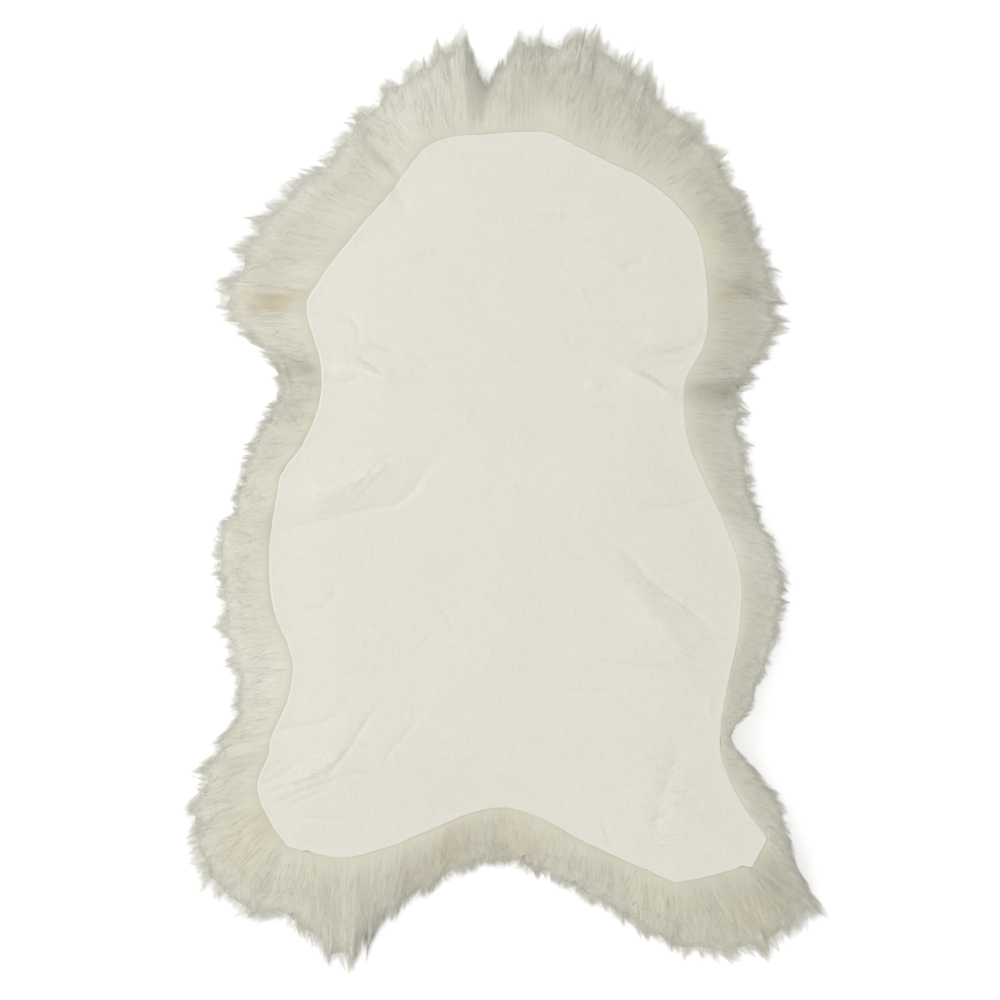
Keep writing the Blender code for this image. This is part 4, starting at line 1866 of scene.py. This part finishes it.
@dataclass(frozen=True)
class Fleece:
    """The locks that cover the wool bed, and the knots that all their fibres have from root to tip."""

    shape: WoolShape
    outline: Outline
    knots: tuple[float, ...] = (0.0, 0.34, 0.70, 1.0)
    taper: tuple[float, ...] = (0.45, 1.0, 0.60, 0.0)
    flatness: float = 0.13
    roll: float = 0.08
    own_normal: float = 0.12
    lift_normal: float = 0.8
    tip_stray: float = 0.0010
    tips_count: int = 120
    drift_count: int = 70
    map_half_width: float = 0.0007
    map_ridge: float = 0.0006
    map_play: float = 0.0045
    off_floor: float = 0.0001

    @property
    def share(self) -> Array:
        """Returns the knots' shares of the way along a fibre, as one row."""
        return np.array(self.knots)[None]

    def tier(self, tier: LockTier) -> Fibres:
        """Grows one layer of locks all round.

        Args:
            tier: The layer.

        Returns:
            Its fibres.
        """
        chance = np.random.default_rng(tier.seed)
        locks = (np.arange(tier.locks) + chance.uniform(-0.45, 0.45, tier.locks) + 0.5) / tier.locks
        tip_reach = chance.uniform(*tier.tips, tier.locks)
        tip_reach += 0.05 * periodic_noise(locks, self.tips_count, tier.seed + 7)
        drift = chance.normal(0, 1, tier.locks) + 1.6 * periodic_noise(locks, self.drift_count, tier.seed + 3)
        drift = tier.sway * drift
        width = tier.spread / tier.locks * chance.uniform(0.7, 1.35, tier.locks)
        return self.bundle(tier, chance, locks, tip_reach, drift / self.outline.length, width)

    def bundle(
        self,
        tier: LockTier,
        chance: np.random.Generator,
        locks: Array,
        tip_reach: Array,
        drift: Array,
        width: Array,
    ) -> Fibres:
        """Fills locks with fibres.

        Args:
            tier: The layer that the locks belong to.
            chance: The source of random numbers.
            locks: The place round of each lock's root.
            tip_reach: Each lock's reach.
            drift: How far each lock's tip strays round the rug.
            width: Each lock's width at its root, as a share of the way round.

        Returns:
            The fibres.
        """
        each = tier.fibres
        count = len(locks) * each

        def per_fibre(values: Array) -> Array:
            """Gives every fibre its lock's value."""
            return np.repeat(values, each)

        side = chance.uniform(-0.5, 0.5, count)
        depth = chance.uniform(0, 1, count)
        gather = per_fibre(chance.uniform(*tier.gather, len(locks)))
        stray = chance.normal(0, 1, count)
        shortness = 1 - 0.20 * chance.uniform(0, 1, count) ** 2 - 0.10 * np.abs(side)
        root = chance.uniform(*tier.roots, count)
        tip = root + (per_fibre(tip_reach) - root) * shortness
        share = self.share
        closing = 1 - gather[:, None] * share**1.5
        around = per_fibre(locks)[:, None] + (side * per_fibre(width))[:, None] * closing
        around = around + per_fibre(drift)[:, None] * share**1.6
        around = around + (stray * self.tip_stray / self.outline.length)[:, None] * share**2
        reach = root[:, None] + (tip - root)[:, None] * share
        around = self.shape.flow(around, reach)
        root_lift = chance.uniform(*tier.root_lift, count)[:, None]
        tip_lift = per_fibre(chance.uniform(*tier.tip_lift, len(locks)))[:, None]
        roundness = np.sqrt(np.clip(1 - (2 * side) ** 2, 0, 1)) * (1 - 0.8 * depth)
        body = tier.body_lift * roundness[:, None] * np.sin(np.pi * share**0.8) ** 0.8
        lift = root_lift * (1 - share) ** 2 + tip_lift * share**2 + body
        seat = self.seated(chance, per_fibre(locks))
        thick = tier.thickness * chance.uniform(0.7, 1.25, count)
        return Fibres(around, reach, lift, thick, seat)

    def seated(self, chance: np.random.Generator, around: Array) -> Array:
        """Returns each fibre's place across the wool's map, a little beside its place round the rug."""
        return np.clip(around % 1.0 + chance.normal(0, self.map_play, len(around)), 0.002, 0.998)

    def wisps(self) -> Fibres:
        """Grows the long pointed locks at their own places."""
        parts = None
        for number, wisp in enumerate(WISPS_MM):
            middle, reach = self.outline.find(wisp.x, wisp.y)
            chance = np.random.default_rng(WISP_TIER.seed + number)
            width = wisp.width * MM / self.outline.length
            locks = middle + width * np.array((-0.35, 0.05, 0.4))
            tips = reach * np.array((0.94, 1.0, 0.9))
            drift = -width * np.array((-0.20, 0.05, 0.25))
            widths = np.full(WISP_TIER.locks, width * WISP_TIER.spread)
            part = self.bundle(WISP_TIER, chance, locks, tips, drift, widths)
            parts = part if parts is None else parts.joined(part)
        return parts

    def hairs(
        self,
        kind: HairKind,
        chance: np.random.Generator,
        roots: tuple[Array, Array],
        length: Array,
        rises: tuple[Array | float, Array],
    ) -> Fibres:
        """Lays single hairs, once their roots and lengths are known.

        Args:
            kind: Their kind.
            chance: The source of random numbers.
            roots: The place round of each root, and its reach.
            length: How much further out each hair reaches.
            rises: Along a hair, the lift that all have, and the form of the lift that each has of its own.

        Returns:
            The fibres.
        """
        start, root = roots
        share = self.share
        turn = chance.normal(0, kind.stray, kind.count) / self.outline.length
        reach = root[:, None] + length[:, None] * share
        around = self.shape.flow(start[:, None] + turn[:, None] * share**kind.bend, reach)
        lift = rises[0] + chance.uniform(*kind.lifts, kind.count)[:, None] * rises[1]
        seat = self.seated(chance, start)
        return Fibres(around, reach, lift, chance.uniform(*kind.widths, kind.count), seat)

    def coat(self) -> Fibres:
        """Grows short single hairs that lie close on the wool bed, closer together towards the ends."""
        chance = np.random.default_rng(COAT.seed)
        start = chance.uniform(0, 1, COAT.count)
        root = 0.02 + 0.66 * chance.uniform(0, 1, COAT.count) ** 0.8
        length = chance.uniform(0.14, 0.30, COAT.count)
        return self.hairs(COAT, chance, (start, root), length, (0.0, np.sin(np.pi * self.share)))

    def strays(self) -> Fibres:
        """Grows loose hairs that lie across the locks."""
        chance = np.random.default_rng(STRAYS.seed)
        share = self.share
        start = chance.uniform(0, 1, STRAYS.count)
        root = chance.uniform(0.15, 0.75, STRAYS.count)
        tip = np.clip(root + chance.uniform(0.25, 0.5, STRAYS.count), 0, 1.12)
        rises = (-0.001 * (1 - share) ** 2, np.sin(np.pi * share * 0.85))
        return self.hairs(STRAYS, chance, (start, root), tip - root, rises)

    def fuzz(self) -> Fibres:
        """Grows thin loose hairs that stand out of the wool's ends."""
        chance = np.random.default_rng(FUZZ.seed)
        share = self.share
        start = chance.uniform(0, 1, FUZZ.count)
        root = chance.uniform(0.74, 0.94, FUZZ.count)
        tip = root + chance.uniform(0.10, 0.30, FUZZ.count) * chance.uniform(0.5, 1, FUZZ.count)
        return self.hairs(FUZZ, chance, (start, root), tip - root, (-0.0005 * (1 - share), share**0.8))

    def build(self, name: str, fibres: Fibres, wool: Material) -> bpy.types.Object:
        """Models fibres as closed three-sided spikes, joined in one mesh.

        Args:
            name: The piece's name.
            fibres: The fibres.
            wool: Their material.

        Returns:
            The piece.
        """
        line = self.shape.place(fibres.around, fibres.reach, fibres.lift)
        count, knots = line.shape[:2]
        heading = np.diff(line, axis=1)
        heading = np.concatenate((heading[:, :1], (heading[:, :-1] + heading[:, 1:]) / 2, heading[:, -1:]), axis=1)
        heading = unit(heading)
        side = unit(np.cross(heading, (0.0, 0.0, 1.0)))
        top = np.cross(side, heading)
        surface = unit(top[:, :, None] + np.array((0.0, 0.0, self.lift_normal)))
        roll = np.random.default_rng(len(line)).normal(0, self.roll, count)[:, None, None]
        side, top = side * np.cos(roll) + top * np.sin(roll), top * np.cos(roll) - side * np.sin(roll)
        half = (fibres.width[:, None] * np.array(self.taper)[None] / 2)[..., None]
        rings = np.stack(
            (
                line - side * half - top * half * self.flatness * 0.5,
                line + side * half - top * half * self.flatness * 0.5,
                line + top * half * self.flatness,
            ),
            axis=2,
        )[:, :-1]
        rings[..., 2] = np.maximum(rings[..., 2], self.off_floor)
        body = rings.reshape(count, -1, 3)
        places = np.concatenate((body, line[:, -1:, :]), axis=1)
        per = places.shape[1]
        corners, sizes = self.spike_faces(knots - 1)
        all_corners = (np.arange(count)[:, None] * per + corners[None]).ravel()
        starts = np.concatenate(([0], np.cumsum(np.tile(sizes, count))[:-1]))
        up = WOOL_MAP.up(fibres.reach)
        offsets = np.array((-self.map_half_width, self.map_half_width, 0.0))
        ring_u = fibres.seat[:, None, None] + offsets[None, None] + np.zeros((1, knots - 1, 1))
        ring_v = np.repeat(up[:, :-1, None], 3, axis=2)
        ring_v[..., 2] += self.map_ridge
        vertex_map = np.concatenate(
            (
                np.stack((ring_u, ring_v), -1).reshape(count, -1, 2),
                np.stack((fibres.seat, up[:, -1]), -1)[:, None],
            ),
            axis=1,
        ).reshape(-1, 2)
        outward = unit(rings - rings.mean(axis=2, keepdims=True))
        normals = outward * self.own_normal + surface[:, :-1] * (1 - self.own_normal)
        normals = np.concatenate((normals.reshape(count, -1, 3), surface[:, -1]), axis=1).reshape(-1, 3)
        piece = mesh_object(name, places.reshape(-1, 3), all_corners, starts, wool, vertex_map[all_corners])
        piece.data.normals_split_custom_set_from_vertices(unit(normals))
        dress_wool(piece)
        return piece

    @staticmethod
    def spike_faces(rings: int) -> tuple[Array, Array]:
        """Lists the faces of one spike with three sides and a point.

        Args:
            rings: How many rings of three vertices it has before its point.

        Returns:
            The corners, face after face, and how many corners each face has.
        """
        corners, sizes = [0, 1, 2], [3]
        for ring in range(rings - 1):
            low, high = ring * 3, ring * 3 + 3
            for k in range(3):
                after = (k + 1) % 3
                corners += [low + after, low + k, high + k, high + after]
                sizes.append(4)
        last, tip = (rings - 1) * 3, rings * 3
        for k in range(3):
            corners += [last + (k + 1) % 3, last + k, tip]
            sizes.append(3)
        return np.array(corners), np.array(sizes)


# ---- The studio.


@dataclass(frozen=True)
class SoftLight:
    """A square soft light: where it hangs, how wide and strong it is, and its colour."""

    name: str
    place: tuple[float, float, float]
    width: float
    power: float
    color: Color


@dataclass(frozen=True)
class Studio:
    """A pale floor, soft lights from the left, and a camera that looks straight down."""

    floor_width: float = 24.0
    floor_color: Color = (0.95, 0.95, 0.95)
    floor_glow: float = 0.30
    sky: float = 0.63
    lens: float = 100.0
    sensor: float = 36.0
    distance: float = 3.272
    aim_x: float = -0.0032
    aim_y: float = -0.0050
    lights: tuple[SoftLight, ...] = (
        SoftLight("key", (-3.6, 0.9, 3.2), 1.8, 65.0, (1.0, 1.0, 1.0)),
        SoftLight("fill", (3.4, -2.2, 4.6), 3.0, 30.0, (1.0, 0.985, 0.96)),
    )

    def build(self) -> None:
        """Sets up the floor, the lights, the sky and the camera."""
        self.lay_floor()
        for light in self.lights:
            self.hang(light)
        world = bpy.data.worlds.new("studio")
        world.use_nodes = True
        world.node_tree.nodes["Background"].inputs["Color"].default_value = (1.0, 1.0, 1.0, 1.0)
        world.node_tree.nodes["Background"].inputs["Strength"].default_value = self.sky
        bpy.context.scene.world = world
        bpy.context.scene.view_settings.view_transform = "Standard"
        bpy.context.scene.view_settings.look = "None"
        self.aim_camera()

    def lay_floor(self) -> None:
        """Adds the floor."""
        bpy.ops.object.select_all(action="DESELECT")
        bpy.ops.mesh.primitive_plane_add(size=self.floor_width, location=(0, 0, 0))
        floor = bpy.context.object
        floor.name = "floor"
        values = {
            "Base Color": (*self.floor_color, 1.0),
            "Emission Color": (1.0, 1.0, 1.0, 1.0),
            "Emission Strength": self.floor_glow,
            "Roughness": 0.9,
            "Specular IOR Level": 0.1,
        }
        floor.data.materials.append(new_material("floor", values)[0])

    @staticmethod
    def hang(light: SoftLight) -> None:
        """Adds a soft light that faces the rug.

        Args:
            light: The light.
        """
        data = bpy.data.lights.new(light.name, "AREA")
        data.size = light.width
        data.energy = light.power
        data.color = light.color
        thing = bpy.data.objects.new(light.name, data)
        thing.location = light.place
        thing.rotation_euler = (-Vector(light.place)).to_track_quat("-Z", "Y").to_euler()
        thing.visible_camera = False
        bpy.context.scene.collection.objects.link(thing)

    def aim_camera(self) -> None:
        """Adds the camera."""
        data = bpy.data.cameras.new("camera")
        data.lens = self.lens
        data.sensor_width = self.sensor
        camera = bpy.data.objects.new("camera", data)
        camera.location = (self.aim_x, self.aim_y, self.distance)
        bpy.context.scene.collection.objects.link(camera)
        bpy.context.scene.camera = camera


def report(piece: bpy.types.Object) -> None:
    """Logs a finished piece's size."""
    faces = sum(len(face.vertices) - 2 for face in piece.data.polygons)
    LOG.info("%s: %d triangles", piece.name, faces)


def map_stains_and_painted_light(outline: Outline) -> dict[Tint, list[MapPatch]]:
    """Finds the places of the tinted patches on the wool's own map, for staining and for painted shade and light.

    Args:
        outline: The rug's outline.

    Returns:
        The patches of each tint.
    """
    patches: dict[Tint, list[MapPatch]] = {}
    for tint, stains_and_painted_light in STAINS_AND_PAINTED_LIGHT_MM.items():
        patches[tint] = []
        for stain in stains_and_painted_light:
            middle, reach = outline.find(stain.x, stain.y)
            here = np.array([middle])
            out = float(np.linalg.norm(outline.at(outline.ends, here) - outline.at(outline.edge, here)))
            half_around = stain.half_round * MM / outline.length
            half_up = stain.half_out * MM / (out * (WOOL_MAP.highest - WOOL_MAP.lowest))
            patches[tint].append(MapPatch(middle, float(WOOL_MAP.up(reach)), half_around, half_up, stain.strength))
    return patches


def main() -> None:
    """Builds the rug's looks and the studio round it."""
    logging.basicConfig(level=logging.INFO, format="%(message)s")
    sizes, wool_sizes = SheetSizes(), WoolSizes()
    outline = Outline(OUTLINE_MM, ROUND_STEPS, wool_sizes.station_step)
    grain, streaks = grain_group(), streaks_group()
    hide = Hide(outline, sizes)
    sheet = hide.build(LeatherFinish().make(grain, crinkle_group()))
    report(sheet)
    stains_and_painted_light = map_stains_and_painted_light(outline)
    wool = WoolFinish().make("long_wool", streaks, stains_and_painted_light, grooved=True)
    locks = LOCK_FINISH.make("wool_locks", streaks, stains_and_painted_light, grooved=False)
    shape = WoolShape(outline, hide, wool_sizes)
    bed = WoolBed(shape).build(wool)
    report(bed)
    report(FeltCore(outline, hide).build(FeltFinish().make(grain)))
    fleece = Fleece(shape, outline)
    report(fleece.build("wool_coat", fleece.coat(), locks))
    for tier in TIERS:
        fibres = fleece.tier(tier)
        if tier is TIERS[-1]:
            fibres = fibres.joined(fleece.wisps()).joined(fleece.strays()).joined(fleece.fuzz())
        report(fleece.build(tier.name, fibres, locks))
    Studio().build()


if __name__ == "__main__":
    main()
